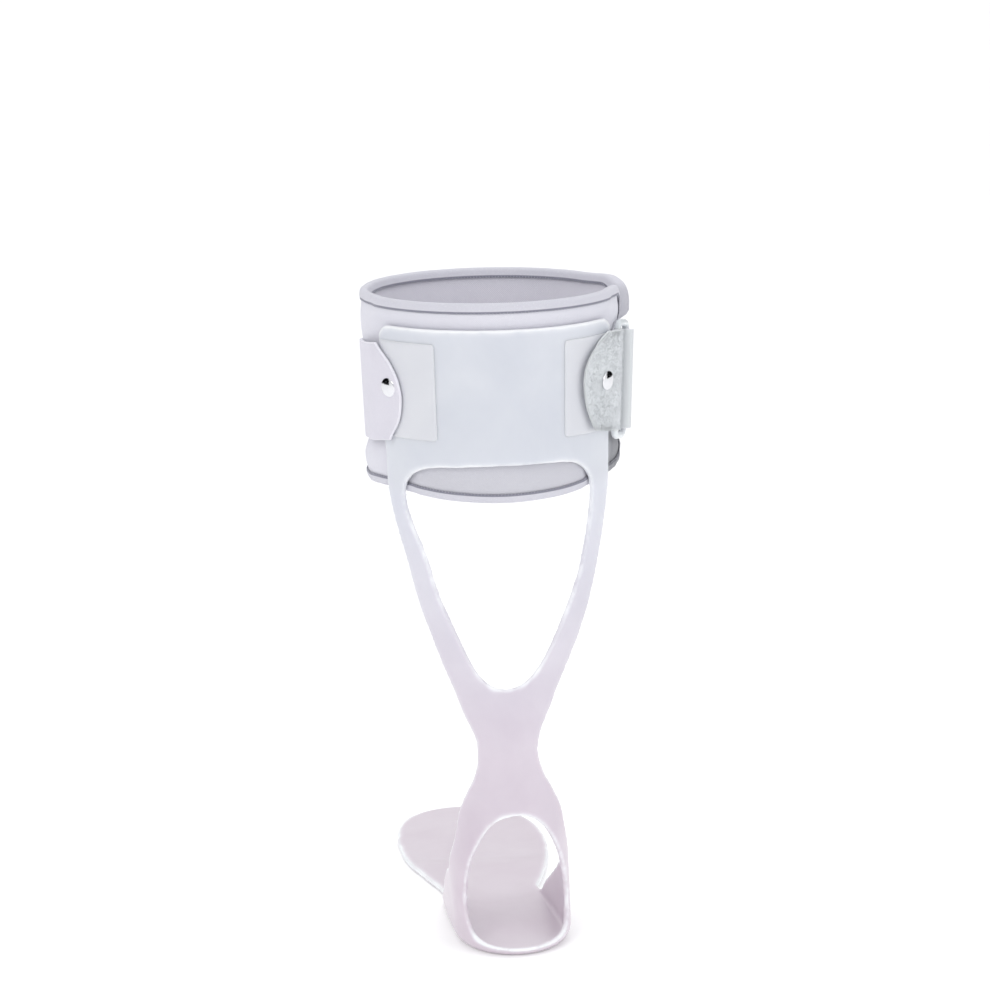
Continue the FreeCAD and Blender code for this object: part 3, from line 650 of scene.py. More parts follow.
# middle of each layer: distance out from the cuff (first three) or the pad (last two)
TAB_INNER = PATCH_TOP + TAB_GAP + TAB_T / 2
TAB_OUTER = PATCH_TOP + TAB_GAP + TAB_T + LAYER_GAP + TAB_T / 2
STRAP_ON_CUFF = PATCH_TOP + LAYER_GAP + STRAP_T / 2
STRAP_ON_PAD = PAD_CLEAR + STRAP_T / 2
FLAP_ON_PAD = PAD_CLEAR + STRAP_T + 0.12 + HOOK_T + 0.05 + STRAP_T / 2
TAB_LOOP_R = BAR_R + 0.07 + TAB_T / 2
TAB_LOOP_EXTRA = math.radians(68.0)      # turn of the tab's loop beyond a half turn
FOLD_R = BAR_R + 0.55 + STRAP_T / 2
STRAP_MM_PER_DEG = 1.14

# (height across the band, phi of its cut end)
TAB_END = Curve([(-25.0, 43.0), (-19.5, 40.4), (-10.5, 37.4), (0.0, 36.4), (4.6, 36.9),
                 (12.5, 39.8), (17.0, 43.0), (21.5, 46.9), (25.0, 51.0)])
STRAP_END = Curve([(-25.0, -51.8), (-22.0, -50.5), (-16.0, -46.9), (-9.0, -45.0),
                   (-3.0, -44.5), (4.0, -45.5), (14.0, -50.0), (20.5, -55.2), (25.0, -58.6)])
FLAP_END = -199.0
# (phi, z of the strap's middle line)
STRAP_Z = Curve([(-284, 295.9), (-265, 292.7), (-240, 289.6), (-210, 287.4), (-180, 286.6),
                 (-150, 287.0), (-120, 289.2), (-90, 292.8), (-66, 296.0), (-58, 297.3),
                 (-51.5, 298.3), (-44, 298.6)])
# heights across a band, close together at its borders
BAND_RISES = [-25.0, -24.3, -23.4] + span(-22, 22, 23) + [23.4, 24.3, 25.0]
FLAP_UPPER = [3.0, 6.0, 9.5, 13.0, 16.0, 18.5, 20.5, 22.0, 23.2, 24.0, 24.6, 25.0]
FLAP_RISES = [-rise for rise in reversed(FLAP_UPPER)] + [0.0] + FLAP_UPPER


def bridge(start, start_way, end, end_way, shares, end_pull=1.0):
    """Points of a smooth curve between two places with given unit directions."""
    gap = (end - start).length
    leave, arrive = start_way * gap, end_way * gap * end_pull
    return [start * (2 * s ** 3 - 3 * s ** 2 + 1) + leave * (s ** 3 - 2 * s ** 2 + s)
            + end * (-2 * s ** 3 + 3 * s ** 2) + arrive * (s ** 3 - s ** 2) for s in shares]


def arc(bar, radius, start, sweep, count=19):
    """Points round a ring bar, turning from the outward towards the forward side."""
    points = []
    for i in range(count):
        angle = start - sweep * i / (count - 1.0)
        points.append(bar + RING_FORWARD * (radius * math.cos(angle))
                      + RING_OUT * (radius * math.sin(angle)))
    return points


def heading(points):
    return (points[-1] - points[-2]).normalized()


def shear_of(rise):
    """Degrees a point rise mm up a band moves when the band leans with the ring."""
    return rise * math.sin(SLOPE) / STRAP_MM_PER_DEG


def grid_from(column, rises):
    """Grid whose rows run along a band and whose columns are column(rise)."""
    columns = [[tuple(point) for point in column(rise)] for rise in rises]
    return np.array(columns).transpose(1, 0, 2)


def rivet_frame(side):
    """Place and outward axis of the rivet on the left (-1) or right (+1)."""
    phi = side * RIVET_PHI
    around = surf(RIVET_Z, phi + 0.25) - surf(RIVET_Z, phi - 0.25)
    upward = surf(RIVET_Z + 0.25, phi) - surf(RIVET_Z - 0.25, phi)
    return surf(RIVET_Z, phi), around.cross(upward).normalized()


def pucker(mid, side, radius, depth=0.5):
    """Dip of a band's high side round the rivet."""
    distance = np.linalg.norm(mid - np.array(rivet_frame(side)[0]), axis=2)
    return -depth * np.exp(-(distance / radius) ** 2)


def waves(mid, height, scale, seed):
    shift = V((seed, seed * 1.7, -seed))
    return np.array([[height * noise.noise(V(point) * scale + shift) for point in row]
                     for row in mid])


# ---------------------------------------------------------------------------
# tab: a cloth band on the right of the cuff, looped round the ring's rear bar
# ---------------------------------------------------------------------------
TAB_OUTER_SHARES = [0.0, 0.03, 0.07] + span(0.12, 1, 24)
TAB_OUTER_PHI, TAB_INNER_PHI = 58.5, 59.9    # where each layer leaves for the loop


def tab_column(rise):
    """Along the outer layer, round the bar, then back along the inner layer."""
    bar = REAR_BAR + RING_UP * rise
    end = TAB_END(rise)
    shear = shear_of(rise)

    def on_cuff(phi, lean, out):
        middle = RING_Z + (RING_PHI - phi) * STRAP_MM_PER_DEG * math.tan(SLOPE) * 0.92
        return surf(middle + rise * math.cos(SLOPE), phi + lean, out)

    points = []
    for share in TAB_OUTER_SHARES:
        phi = end + (TAB_OUTER_PHI - end) * share
        curl = (0.55 * (1 - ease((phi - end) * STRAP_MM_PER_DEG, 0, 6))
                + 0.2 * ease(abs(rise), 18, 25))
        points.append(on_cuff(phi, shear * ease(phi, 44, 58), TAB_OUTER + curl))
    points += bridge(points[-1], heading(points), bar + RING_OUT * TAB_LOOP_R, RING_FORWARD,
                     (0.2, 0.4, 0.6, 0.8))
    points += arc(bar, TAB_LOOP_R, math.pi / 2, math.pi + TAB_LOOP_EXTRA)
    leave = (RING_FORWARD * -math.cos(TAB_LOOP_EXTRA) + RING_OUT * math.sin(TAB_LOOP_EXTRA))
    meet = on_cuff(TAB_INNER_PHI, shear, TAB_INNER)
    beyond = on_cuff(TAB_INNER_PHI - 1.0, shear, TAB_INNER)
    points += bridge(points[-1], leave, meet, (beyond - meet).normalized(),
                     (0.2, 0.4, 0.6, 0.8, 1.0), end_pull=0.9)
    inner_end = max(45.5, end + 1.2)
    for share in span(0.14, 1, 7):
        phi = TAB_INNER_PHI - (TAB_INNER_PHI - inner_end) * share
        points.append(on_cuff(phi, shear * ease(phi, 44, 58), TAB_INNER))
    return points


tab_mid = grid_from(tab_column, BAND_RISES)
# relief on the outer layer only, fading over its last five rows
outer_part = np.clip((len(TAB_OUTER_SHARES) - np.arange(len(tab_mid))) / 5.0, 0, 1)[:, None]
tab_relief = (pucker(tab_mid, 1, radius=6.0) + waves(tab_mid, height=0.35, scale=0.30, seed=3.0)
              + waves(tab_mid, height=0.2, scale=0.8, seed=8.0)) * outer_part
chafe = slab("chafe_tab_cloth", tab_mid, -TAB_T / 2, TAB_T / 2, LOOP, bevel=0.3,
             relief=tab_relief)
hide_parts("chafe_tab")
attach(chafe, "calf")

TUFT_COUNT, EDGE_TUFT_COUNT = 5200, 700
TUFT_ROWS = 38           # rows of the tab with tufts: outer layer and start of the loop
RIVET_CLEARING = 5.4     # radius kept free of tufts


def tab_tufts():
    """(root, normal, spread direction, reach) of each tuft on the tab's face and cut end."""
    rng = random.Random(11)
    normals = normals_of(tab_mid)
    rivet, axis = rivet_frame(1)
    last_col = tab_mid.shape[1] - 1.001

    def blend(first, second, share):
        return first * (1 - share) + second * share

    tufts = []
    for _ in range(TUFT_COUNT):
        row, col = rng.uniform(0, TUFT_ROWS), rng.uniform(0, last_col)
        i, j = int(row), int(col)
        low, high = [blend(V(tab_mid[i, k]), V(tab_mid[i + 1, k]), row - i)
                     for k in (j, j + 1)]
        spot = blend(low, high, col - j)
        if (spot - rivet - axis * (spot - rivet).dot(axis)).length < RIVET_CLEARING:
            continue
        normal = V(normals[i, j])
        root = spot + normal * (TAB_T / 2 + float(tab_relief[i, j]))
        tufts.append((root, normal, V((0, 0, 0)), 0.9))
    for _ in range(EDGE_TUFT_COUNT):
        col = rng.uniform(0, last_col)
        j = int(col)
        spot = blend(V(tab_mid[0, j]), V(tab_mid[0, j + 1]), col - j)
        normal = V(normals[0, j])
        out = (V(tab_mid[0, j]) - V(tab_mid[2, j])).normalized()
        tufts.append((spot + normal * rng.uniform(-0.45, 0.5), normal, out * 1.2, 0.55))
    return tufts


def fibres(name, tufts, material, seed, radius=0.045, sides=3, steps=4):
    """Short arched threads, one from each tuft."""
    rng = random.Random(seed)
    verts, faces = [], []
    for root, normal, out, reach in tufts:
        way = V((rng.uniform(-1, 1), rng.uniform(-1, 1), rng.uniform(-1, 1)))
        way = way - normal * way.dot(normal)
        if way.length > 1e-3:
            way = (way.normalized() * 0.8 + out).normalized()
        else:
            way = out.normalized()
        length = reach * rng.uniform(0.6, 1.3)
        crown = rng.uniform(0.25, 0.6)
        across = way.cross(normal).normalized()
        faces += tube_faces(len(verts), steps + 1, sides)
        for k in range(steps + 1):
            share = k / steps
            sway = 0.25 * math.sin(2.2 * math.pi * share) * rng.uniform(0.6, 1)
            centre = (root + way * (length * share)
                      + normal * (crown * math.sin(math.pi * share) + 0.02) + across * sway)
            thickness = radius * (1.0 if 0 < k < steps else 0.5)
            verts += ring_points(centre, across, normal, thickness, sides)
    return make_object(name, verts, faces, [material])


pile = fibres("chafe_tab_pile", tab_tufts(), FIBRE, seed=5)
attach(pile, "calf")


# ---------------------------------------------------------------------------
# strap: from the left of the cuff round the front to the ring, folded back as a flap
# ---------------------------------------------------------------------------
STRAP_LEAVES_PHI, STRAP_LAST_PHI = -62.5, -262.0


def strap_point(phi, rise, curl=0.0):
    shear = shear_of(rise)
    left = ease(phi, -66, -86) * (1 - ease(phi, -90, -130)) * 0.6
    right = ease(phi, -235, -255)
    drop = ease(phi, -60.6, -84.6)       # from the cuff down onto the pad
    out = STRAP_ON_CUFF * (1 - drop) + (STRAP_ON_PAD - PAD_GAP) * drop
    return surf(STRAP_Z(phi) + rise * math.cos(SLOPE), phi + shear * (right - left), out + curl)


def strap_column(rise):
    """Across the cuff, round the leg, then a half turn round the ring's front bar."""
    end = STRAP_END(rise)
    points = []
    for share in [0.0, 0.035, 0.08] + span(0.14, 1, 20):
        phi = end + (STRAP_LEAVES_PHI - end) * share
        curl = (0.7 * (1 - ease((end - phi) * STRAP_MM_PER_DEG, 0, 6))
                + 0.25 * ease(abs(rise), 18, 25) * ease(phi, -62, -54))
        points.append(strap_point(phi, rise, curl))
    for phi in span(-63.8, STRAP_LAST_PHI, 110):
        points.append(strap_point(phi, rise))
    bar = FRONT_BAR + RING_UP * rise
    points += bridge(points[-1], heading(points), bar - RING_OUT * FOLD_R, -RING_FORWARD,
                     span(0.1, 0.9, 9))
    return points + arc(bar, FOLD_R, -math.pi / 2, math.pi)


def flap_point(phi, rise):
    lean = shear_of(rise) * ease(phi, -235, -255)
    return surf(STRAP_Z(phi) + rise * math.cos(SLOPE), phi + lean, FLAP_ON_PAD - PAD_GAP)


def flap_column(rise):
    """From the fold back over the strap to a rounded tip."""
    start = FRONT_BAR + RING_UP * rise + RING_OUT * FOLD_R + RING_FORWARD * 0.02
    meet = flap_point(STRAP_LAST_PHI, rise)
    way = flap_point(STRAP_LAST_PHI + 2, rise) - flap_point(STRAP_LAST_PHI - 2, rise)
    points = [start] + bridge(start, RING_FORWARD, meet, way.normalized(), span(0.06, 1, 16))
    tip = FLAP_END - 9.0 * (1 - math.sqrt(max(1 - (rise / 25.4) ** 2, 0.0)))
    for share in span(0.03, 1, 34):
        points.append(flap_point(STRAP_LAST_PHI + (tip - STRAP_LAST_PHI) * share, rise))
    return points


# the strap's rows run against phi, so its high side, thinned at the rivet, faces the leg
web_mid = grid_from(strap_column, BAND_RISES)
web = slab("strap_band", web_mid, -STRAP_T / 2, STRAP_T / 2, STRAP, bevel=0.4,
           relief=pucker(web_mid, -1, radius=5.0), rim_ends=(1, 0))
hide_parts("strap_web")
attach(web, "calf")

flap = slab("strap_return_flap", grid_from(flap_column, FLAP_RISES), -STRAP_T / 2, STRAP_T / 2,
            STRAP, bevel=0.3, rim_ends=(0, 1))
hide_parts("strap_flap")
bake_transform(flap)

# ---------------------------------------------------------------------------
# pad sleeve: from phi 88 on the right, back round the left and front to phi -260
# ---------------------------------------------------------------------------
PAD_TOP, PAD_A, PAD_B = 343.2, -260.0, 88.0
PAD_CORNER = 13.0
PAD_INSET = 1.4          # border of the sleeve inside the pad's outline
MM_PER_DEG = 1.10
# (phi, z of the pad's lower edge)
PAD_LOW = Curve([(-262, 252.2), (-230, 252.2), (-180, 250.4), (-130, 247.8), (-90, 246.4),
                 (-65, 247.4), (-46, 246.5), (-25, 244.4), (0, 243.3), (25, 244.4),
                 (46, 246.9), (65, 249.6), (90, 251.9)])


def above_strap(z, phi):
    """Height over the strap's middle line. The strap's phi goes on past -260 where the pad's
    other end has phi above 60."""
    return z - STRAP_Z(phi - 360.0 if phi > 60 else phi)


def outside_cuff(phi):
    return ease(abs(phi), 60.5, 69.5) if phi > -180 else 1.0


def low_corner_shade_mask(phi, z):
    """1 in the lower corner of the pad's end at phi 88, where the painted shading of the pad and
    its tape is darkest.
    """
    return ease(phi, 60, 68) * (1 - ease(z, 268, 276))


def pad_shape(z, phi):
    """Outward shift of the cover: proud above and below the strap, held in by the cuff."""
    free = outside_cuff(phi)
    rise = above_strap(z, phi)
    right_end, far_end = ease(phi, 62, 88), ease(phi, -236, -260)
    front = ease(phi, -100, -140)
    left = math.exp(-((phi + 88.0) / 26.0) ** 2)
    ripple = (noise.noise(V((phi * 0.11, z * 0.03, 4.0))) * 0.6
              + noise.noise(V((phi * 0.31, z * 0.05, 9.0))) * 0.35)
    above = (ease(rise, 26, 35) * (-0.30 + 0.8 * front + 1.9 * right_end + ripple)
             + ease(rise, 25.5, 34.5) * 9.4 * far_end)
    below = ease(rise, -26, -34) * (0.45 + 0.8 * front + 2.6 * right_end + 1.2 * far_end
                                    + 2.0 * left + ripple)
    shift = -0.05 + free * (0.65 + above + below)
    if abs(phi) < 70:
        # inside the cuff: flat at the hook squares, fuller at the lower and upper edges
        at_square = 15 < abs(phi) < 46 and 275 < z < 323
        lower = ease(z + 2.6 * ease(phi, 0, -40), 263, 257) * ease(abs(phi), 46, 41)
        upper = ease(z, 330.6, 335.6)
        general = 0.0 if at_square else 0.35
        shift += (1 - free) * (general * (1 - upper) + lower * 1.2 + upper * 1.7)
    return shift


def pad_point(z, phi, out):
    share = 1.0 if out > -2 else 0.75    # the leg side follows the cover's shape less
    return surf(z, phi, -PAD_GAP + pad_shape(z, phi) * share + out)


# stations of the sleeve: phi along it and share of its height, close at the borders
sleeve_a = PAD_A + PAD_INSET / MM_PER_DEG
sleeve_b = PAD_B - PAD_INSET / MM_PER_DEG
border = np.array([0, 0.3, 1.0, 2.2, 3.9, 6.0, 8.6]) / MM_PER_DEG
PAD_PHIS = (list(sleeve_a + border) + list(np.linspace(sleeve_a + 11.0, sleeve_b - 11.0, 128))
            + list((sleeve_b - border)[::-1]))
PAD_SHARES = ([0, 0.012, 0.03, 0.055, 0.085] + list(np.linspace(0.12, 0.88, 26))
              + [0.915, 0.945, 0.97, 0.988, 1.0])


# Painted shade on the pad: grey towards both ends, over the back below z 276, and darkest in the
# lower corner of the end at phi 88.
def pad_painted_shade(phi, share):
    z = PAD_LOW(phi) + (PAD_TOP - PAD_LOW(phi)) * share
    ends = 0.18 * ease(phi, 80, 86) + 0.2 * ease(phi, -252, -257)
    back = 0.24 * ease(z, 276, 258) * ease(abs(phi), 64, 38)
    return min(0.85, 0.8 * low_corner_shade_mask(phi, z) + ends + back)


def build_pad():
    outer, inner, uvs = [], [], []
    radius = PAD_CORNER - PAD_INSET
    for phi in PAD_PHIS:
        from_end = min(phi - sleeve_a, sleeve_b - phi) * MM_PER_DEG
        draw = corner_cut(from_end, radius)
        top, low = PAD_TOP - PAD_INSET - draw, PAD_LOW(phi) + PAD_INSET + draw
        for share in PAD_SHARES:
            z = low + (top - low) * share
            from_edge = min(z - low, top - z, from_end)
            fill = 1 - math.exp(-max(from_edge - 4.0, 0) / 3.5)
            groove = math.exp(-((from_edge - 4.0) / 1.1) ** 2)
            free = outside_cuff(phi) * ease(abs(above_strap(z, phi)), 25, 29)
            thin = 1 - ease(from_edge, 2.5, 11.5)
            puff = 0.75 * fill - 0.6 * groove
            outer.append(pad_point(z, phi, -0.25 + puff * free - 0.3 * thin) * MM)
            inner.append(pad_point(z, phi, -4.5 - 0.5 * free * fill + 1.1 * thin) * MM)
            uvs.append((phi * MM_PER_DEG * MM, z * MM))
    faces = sheet_faces(len(PAD_PHIS), len(PAD_SHARES))
    lining = [1 if min(face) >= len(outer) else 0 for face in faces]
    pad = make_object("pad_sleeve", outer + inner, faces, [COVER, LINING],
                      uvs=uvs + uvs, face_materials=lining)
    # painted shade on the cover and the lining, kept in an attribute
    painted_shade = [pad_painted_shade(phi, share) for phi in PAD_PHIS for share in PAD_SHARES]
    point_values(pad.data, "painted_shade", painted_shade + painted_shade)
    finish_faces(pad)
    return pad


def is_held(phi, z):
    """True near the pad's outline, in the cuff, and under the strap except at the back."""
    from_edge = min(z - PAD_LOW(phi), PAD_TOP - z, (phi - PAD_A) * MM_PER_DEG,
                    (PAD_B - phi) * MM_PER_DEG)
    in_cuff = abs(phi) < 62 and z > 262 or 43 < abs(phi) < 62
    under_strap = abs(above_strap(z, phi)) < 27.5 and abs(phi) >= 43
    return from_edge < 6.5 or in_cuff or under_strap


CLOTH = dict(quality=5, mass=0.15, tension_stiffness=5, compression_stiffness=5,
             shear_stiffness=3, bending_stiffness=0.1, use_pressure=True,
             uniform_pressure_force=300.0, vertex_group_mass="held")
CLOTH_FRAMES = 20
CLOTH_CAP = 0.0013       # furthest a point may move, m


def inflate_pad(pad):
    """Run cloth under pressure on the free stretches, limit the movement and keep it."""
    rest = np.array([vert.co for vert in pad.data.vertices])
    group = pad.vertex_groups.new(name="held")
    phis = np.tile(np.repeat(PAD_PHIS, len(PAD_SHARES)), 2)
    for index, phi in enumerate(phis):
        if is_held(phi, rest[index][2] / MM):
            group.add([index], 1.0, "REPLACE")
    cloth = pad.modifiers.new("cloth", "CLOTH")
    for key, value in CLOTH.items():
        setattr(cloth.settings, key, value)
    cloth.settings.effector_weights.gravity = 0.0
    cloth.collision_settings.use_collision = False
    cloth.point_cache.frame_start = 1
    cloth.point_cache.frame_end = CLOTH_FRAMES
    for i in range(1, CLOTH_FRAMES + 1):
        scene.frame_set(i)
    mesh = evaluated(pad)
    move = np.array([vert.co for vert in mesh.vertices]) - rest
    scene.frame_set(1)
    pad.modifiers.remove(cloth)
    bpy.data.meshes.remove(mesh)
    length = np.linalg.norm(move, axis=1, keepdims=True)
    move = move * np.minimum(1.0, CLOTH_CAP / np.maximum(length, 1e-9))
    pad.data.vertices.foreach_set("co", (rest + move).ravel())
    pad.data.update()


pad = build_pad()
inflate_pad(pad)
subdivision = pad.modifiers.new("smooth", "SUBSURF")
subdivision.levels = subdivision.render_levels = 1
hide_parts("pad_outer_cover", "pad_foam_core", "pad_skin_lining")
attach(pad, "pad")


# ---------------------------------------------------------------------------
# edge binding: a tape folded round the pad's whole outline, and its stitches
# ---------------------------------------------------------------------------

def pad_outline(count):
    """Evenly spaced (phi, z) points round the pad, and the length of the way round."""
    radius = PAD_CORNER
    radius_deg = radius / MM_PER_DEG
    left, right = PAD_A + radius_deg, PAD_B - radius_deg
    low_left, low_right, top = PAD_LOW(PAD_A) + radius, PAD_LOW(PAD_B) + radius, PAD_TOP - radius

    def corner(phi, z, start):
        turns = start + np.linspace(0, math.pi / 2, 14)[1:-1]
        return [(phi + radius_deg * math.sin(turn), z - radius * math.cos(turn))
                for turn in turns]

    points = [(phi, PAD_LOW(phi)) for phi in np.linspace(left, right, 300)]
    points += corner(right, low_right, 0.0)
    points += [(PAD_B, z) for z in np.linspace(low_right, top, 60)]
    points += corner(right, top, math.pi / 2)
    points += [(phi, PAD_TOP) for phi in np.linspace(right, left, 300)]
    points += corner(left, top, math.pi)
    points += [(PAD_A, z) for z in np.linspace(top, low_left, 60)]
    points += corner(left, low_left, 3 * math.pi / 2)
    loop = np.array(points + points[:1])
    travelled = path_length(loop * np.array([MM_PER_DEG, 1.0]))
    stops = np.linspace(0, travelled[-1], count, endpoint=False)
    even = [np.interp(stops, travelled, loop[:, k]) for k in (0, 1)]
    return np.stack(even, -1), travelled[-1]


outline, outline_length = pad_outline(430)
tangent = (np.roll(outline, -1, 0) - np.roll(outline, 1, 0)) * np.array([MM_PER_DEG, 1.0])
tangent /= np.linalg.norm(tangent, axis=1, keepdims=True)
inward = np.stack([-tangent[:, 1], tangent[:, 0]], -1)

# the folded tape's section: (depth in from the outline, distance out from the pad surface)
TAPE_SECTION = [
    (4.4, -0.22), (4.1, 0.00), (3.4, 0.12), (2.6, 0.10), (1.3, -0.05), (0.35, -0.45),
    (-0.1, -1.0), (-0.3, -1.8), (-0.3, -2.5), (-0.1, -3.2), (0.35, -3.75), (1.3, -4.1),
    (2.6, -4.3), (3.4, -4.45), (4.1, -4.55), (4.4, -4.45)]
TAPE_HALF_T = 0.22


def edge_at(i, depth, out):
    phi, z = outline[i]
    return pad_point(z + inward[i, 1] * depth, phi + inward[i, 0] * depth / MM_PER_DEG, out)


def tape_row(i):
    way = outline_length * i / len(outline)
    wobble = 0.10 * noise.noise(V((way * 0.21, 1.0, 0)))
    row = []
    for depth, out in TAPE_SECTION:
        ripple = 0.07 * noise.noise(V((way * 0.5, depth * 0.8, 3.0)))
        row.append(tuple(edge_at(i, depth + wobble * (1 if depth > 4 else 0.2), out + ripple)))
    return row


# Painted shade on the edge tape: grey at both ends of the pad and darkest in the lower corner of
# the end at phi 88.
def tape_painted_shade(phi, z):
    ends = ease(phi, 84, 88) + ease(phi, -255, -259)
    return min(0.9, 0.75 * low_corner_shade_mask(phi, z) + 0.22 * ends)


binding = slab("pad_edge_tape", np.array([tape_row(i) for i in range(len(outline))]),
               -TAPE_HALF_T, TAPE_HALF_T, BINDING, closed=True, bevel=0.12, segments=2,
               painted_shade=[[tape_painted_shade(phi, z)] for phi, z in outline])
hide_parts("pad_edge_binding")
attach(binding, "pad")

# a stitch's rings: (share of length, share of radius, height in radii)
STITCH_RINGS = [(0.0, 0.45, -0.6), (0.12, 0.85, -0.05), (0.35, 1.0, 0.35),
                (0.65, 1.0, 0.35), (0.88, 0.85, -0.05), (1.0, 0.45, -0.6)]
STITCH_PITCH, STITCH_LENGTH = 1.7, 0.5
STITCH_NEAR, STITCH_FAR = 3.7, 4.9       # depths in from the outline
# (out at the near end, out at the far end, crown direction) on the cover and the lining
STITCH_FACES = ((0.22, -0.12, 1), (-4.8, -4.7, -1))


def outline_at(way, depth, out):
    """Point a length way round the outline."""
    place = (way / outline_length * len(outline)) % len(outline)
    i = int(place)
    following = edge_at((i + 1) % len(outline), depth, out)
    return edge_at(i, depth, out).lerp(following, place - i)


def edge_stitches():
    stitches = []
    count = int(outline_length / STITCH_PITCH)
    for k in range(count):
        way = k * outline_length / count
        for near_out, far_out, flip in STITCH_FACES:
            start = outline_at(way, STITCH_NEAR, near_out)
            end = outline_at(way + STITCH_LENGTH, STITCH_FAR, far_out)
            normal = (outline_at(way, STITCH_NEAR, near_out + 1) - start).normalized() * flip
            stitches.append((start, end, normal))
    return stitches


def capsules(name, stitches, radius, material, sides=6):
    """Short tapered threads that dip at both ends."""
    verts, faces = [], []
    for start, end, normal in stitches:
        across = (end - start).normalized().cross(normal).normalized()
        faces += tube_faces(len(verts), len(STITCH_RINGS), sides)
        for share, width, height in STITCH_RINGS:
            centre = start.lerp(end, share) + normal * (height * radius)
            verts += ring_points(centre, across, normal, radius * width, sides)
    return make_object(name, verts, faces, [material])


thread = capsules("pad_edge_stitching", edge_stitches(), radius=0.16, material=THREAD)
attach(thread, "pad")

# ---------------------------------------------------------------------------
# patches on the outside of the cuff, left and right
# ---------------------------------------------------------------------------
PATCH_PHI, PATCH_Z, PATCH_CORNER = (28.5, 58.0), (275.0, 323.6), 1.6
# shares of the patch's width and height, close together at its borders
PATCH_ACROSS = ([0, 0.006, 0.018, 0.036, 0.06, 0.09] + span(0.13, 0.87, 12)
                + [0.91, 0.94, 0.964, 0.982, 0.994, 1])
PATCH_UP = ([0, 0.006, 0.016, 0.032, 0.055] + span(0.09, 0.91, 16)
            + [0.945, 0.968, 0.984, 0.994, 1])


def patch_grid(side):
    width = PATCH_PHI[1] - PATCH_PHI[0]
    grid = []
    for across in PATCH_ACROSS:
        phi = side * (PATCH_PHI[0] + width * across)
        draw = corner_cut(min(across, 1 - across) * width * MM_PER_DEG, PATCH_CORNER)
        low, top = PATCH_Z[0] + draw, PATCH_Z[1] - draw
        grid.append([tuple(surf(low + (top - low) * up, phi, PATCH_LIFT)) for up in PATCH_UP])
    # rows must run with phi for the normals to point outward
    return np.array(grid if side > 0 else grid[::-1])


SIDES = ((-1, "left"), (1, "right"))
for side, name in SIDES:
    grid = patch_grid(side)
    thinning = np.zeros(grid.shape[:2])
    for k, cut in ((2, 0.05), (1, 0.17), (0, 0.40)):
        thinning[[k, -1 - k]] = -cut
        thinning[:, [k, -1 - k]] = -cut
    patch = slab("cuff_patch_cover_" + name, grid, -0.03, PATCH_T - 0.15, PATCH, bevel=0.15,
                 segments=2, relief=thinning)
    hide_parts("cuff_patch_" + name)
    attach(patch, "calf")

# ---------------------------------------------------------------------------
# rivet domes
# ---------------------------------------------------------------------------
# (radius, height) up the rim of the cap
RIVET_RIM = [(4.2, -0.42), (4.62, -0.36), (4.82, -0.14), (4.84, 0.06), (4.72, 0.30),
             (4.38, 0.50)]
DOME_RISE, DOME_TIP_R = 0.55, 0.12


def dome_profile():
    """The rim, then a spherical dome to the small flat at its top."""
    dome_r, base = RIVET_RIM[-1]
    sphere_r = (dome_r * dome_r + DOME_RISE * DOME_RISE) / (2 * DOME_RISE)
    profile = list(RIVET_RIM)
    for share in span(0.0, 1.0, 13)[1:-1]:
        radius = dome_r * (1 - share)
        height = math.sqrt(sphere_r * sphere_r - radius * radius) - (sphere_r - DOME_RISE)
        profile.append((radius, base + height))
    return profile + [(DOME_TIP_R, base + DOME_RISE)]


def lathe(name, profile, origin, axis, material, sides=56):
    across = axis.cross(V((0, 0, 1))).normalized()
    other = axis.cross(across)
    verts = []
    for radius, height in profile:
        for q in range(sides):
            angle = 2 * math.pi * q / sides
            verts.append((origin + across * (radius * math.cos(angle))
                          + other * (radius * math.sin(angle)) + axis * height) * MM)
    piece = make_object(name, verts, tube_faces(0, len(profile), sides), [material])
    finish_faces(piece)
    return piece


rivet_seats = {"left": STRAP_ON_CUFF + STRAP_T / 2, "right": TAB_OUTER + TAB_T / 2}
for side, name in SIDES:
    place, axis = rivet_frame(side)
    dome = lathe("rivet_dome_" + name, dome_profile(), place + axis * rivet_seats[name], axis,
                 CHROME)
    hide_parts("rivet_cap_" + name)
    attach(dome, "calf")

# ---------------------------------------------------------------------------
# CAD nodes that stay, with their materials
# ---------------------------------------------------------------------------
KEPT_NODES = (
    (STEEL, ("rivet_post_left", "rivet_post_right", "rivet_washer_left",
             "rivet_washer_right")),
    (HOOK, ("liner_hook_square_left", "liner_hook_square_right", "flap_hook_patch")),
    (RING, ("strap_ring",)))
for material, nodes in KEPT_NODES:
    for node in nodes:
        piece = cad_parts[node]
        if not piece.data.materials:
            piece.data.materials.append(material)
        for material_slot in piece.material_slots:
            material_slot.material = material


# ---------------------------------------------------------------------------
# floor, lights and camera, in metres
# ---------------------------------------------------------------------------

def floor_material():
    shader = Shader("studio_floor")
    cloud = shader.noise(shader.coords(), scale=3.0)
    return shader.finish(shader.node("ShaderNodeBsdfPrincipled", {
        "Roughness": 0.9,
        "Base Color": shader.mix(shader.ramp(cloud, [(0.3, 0.0), (0.7, 1.0)]),
                                 (0.955, 0.955, 0.955), (0.965, 0.965, 0.965)),
        "Emission Color": (1, 1, 1),
        "Emission Strength": 0.12,
        "Specular IOR Level": 0.1}))


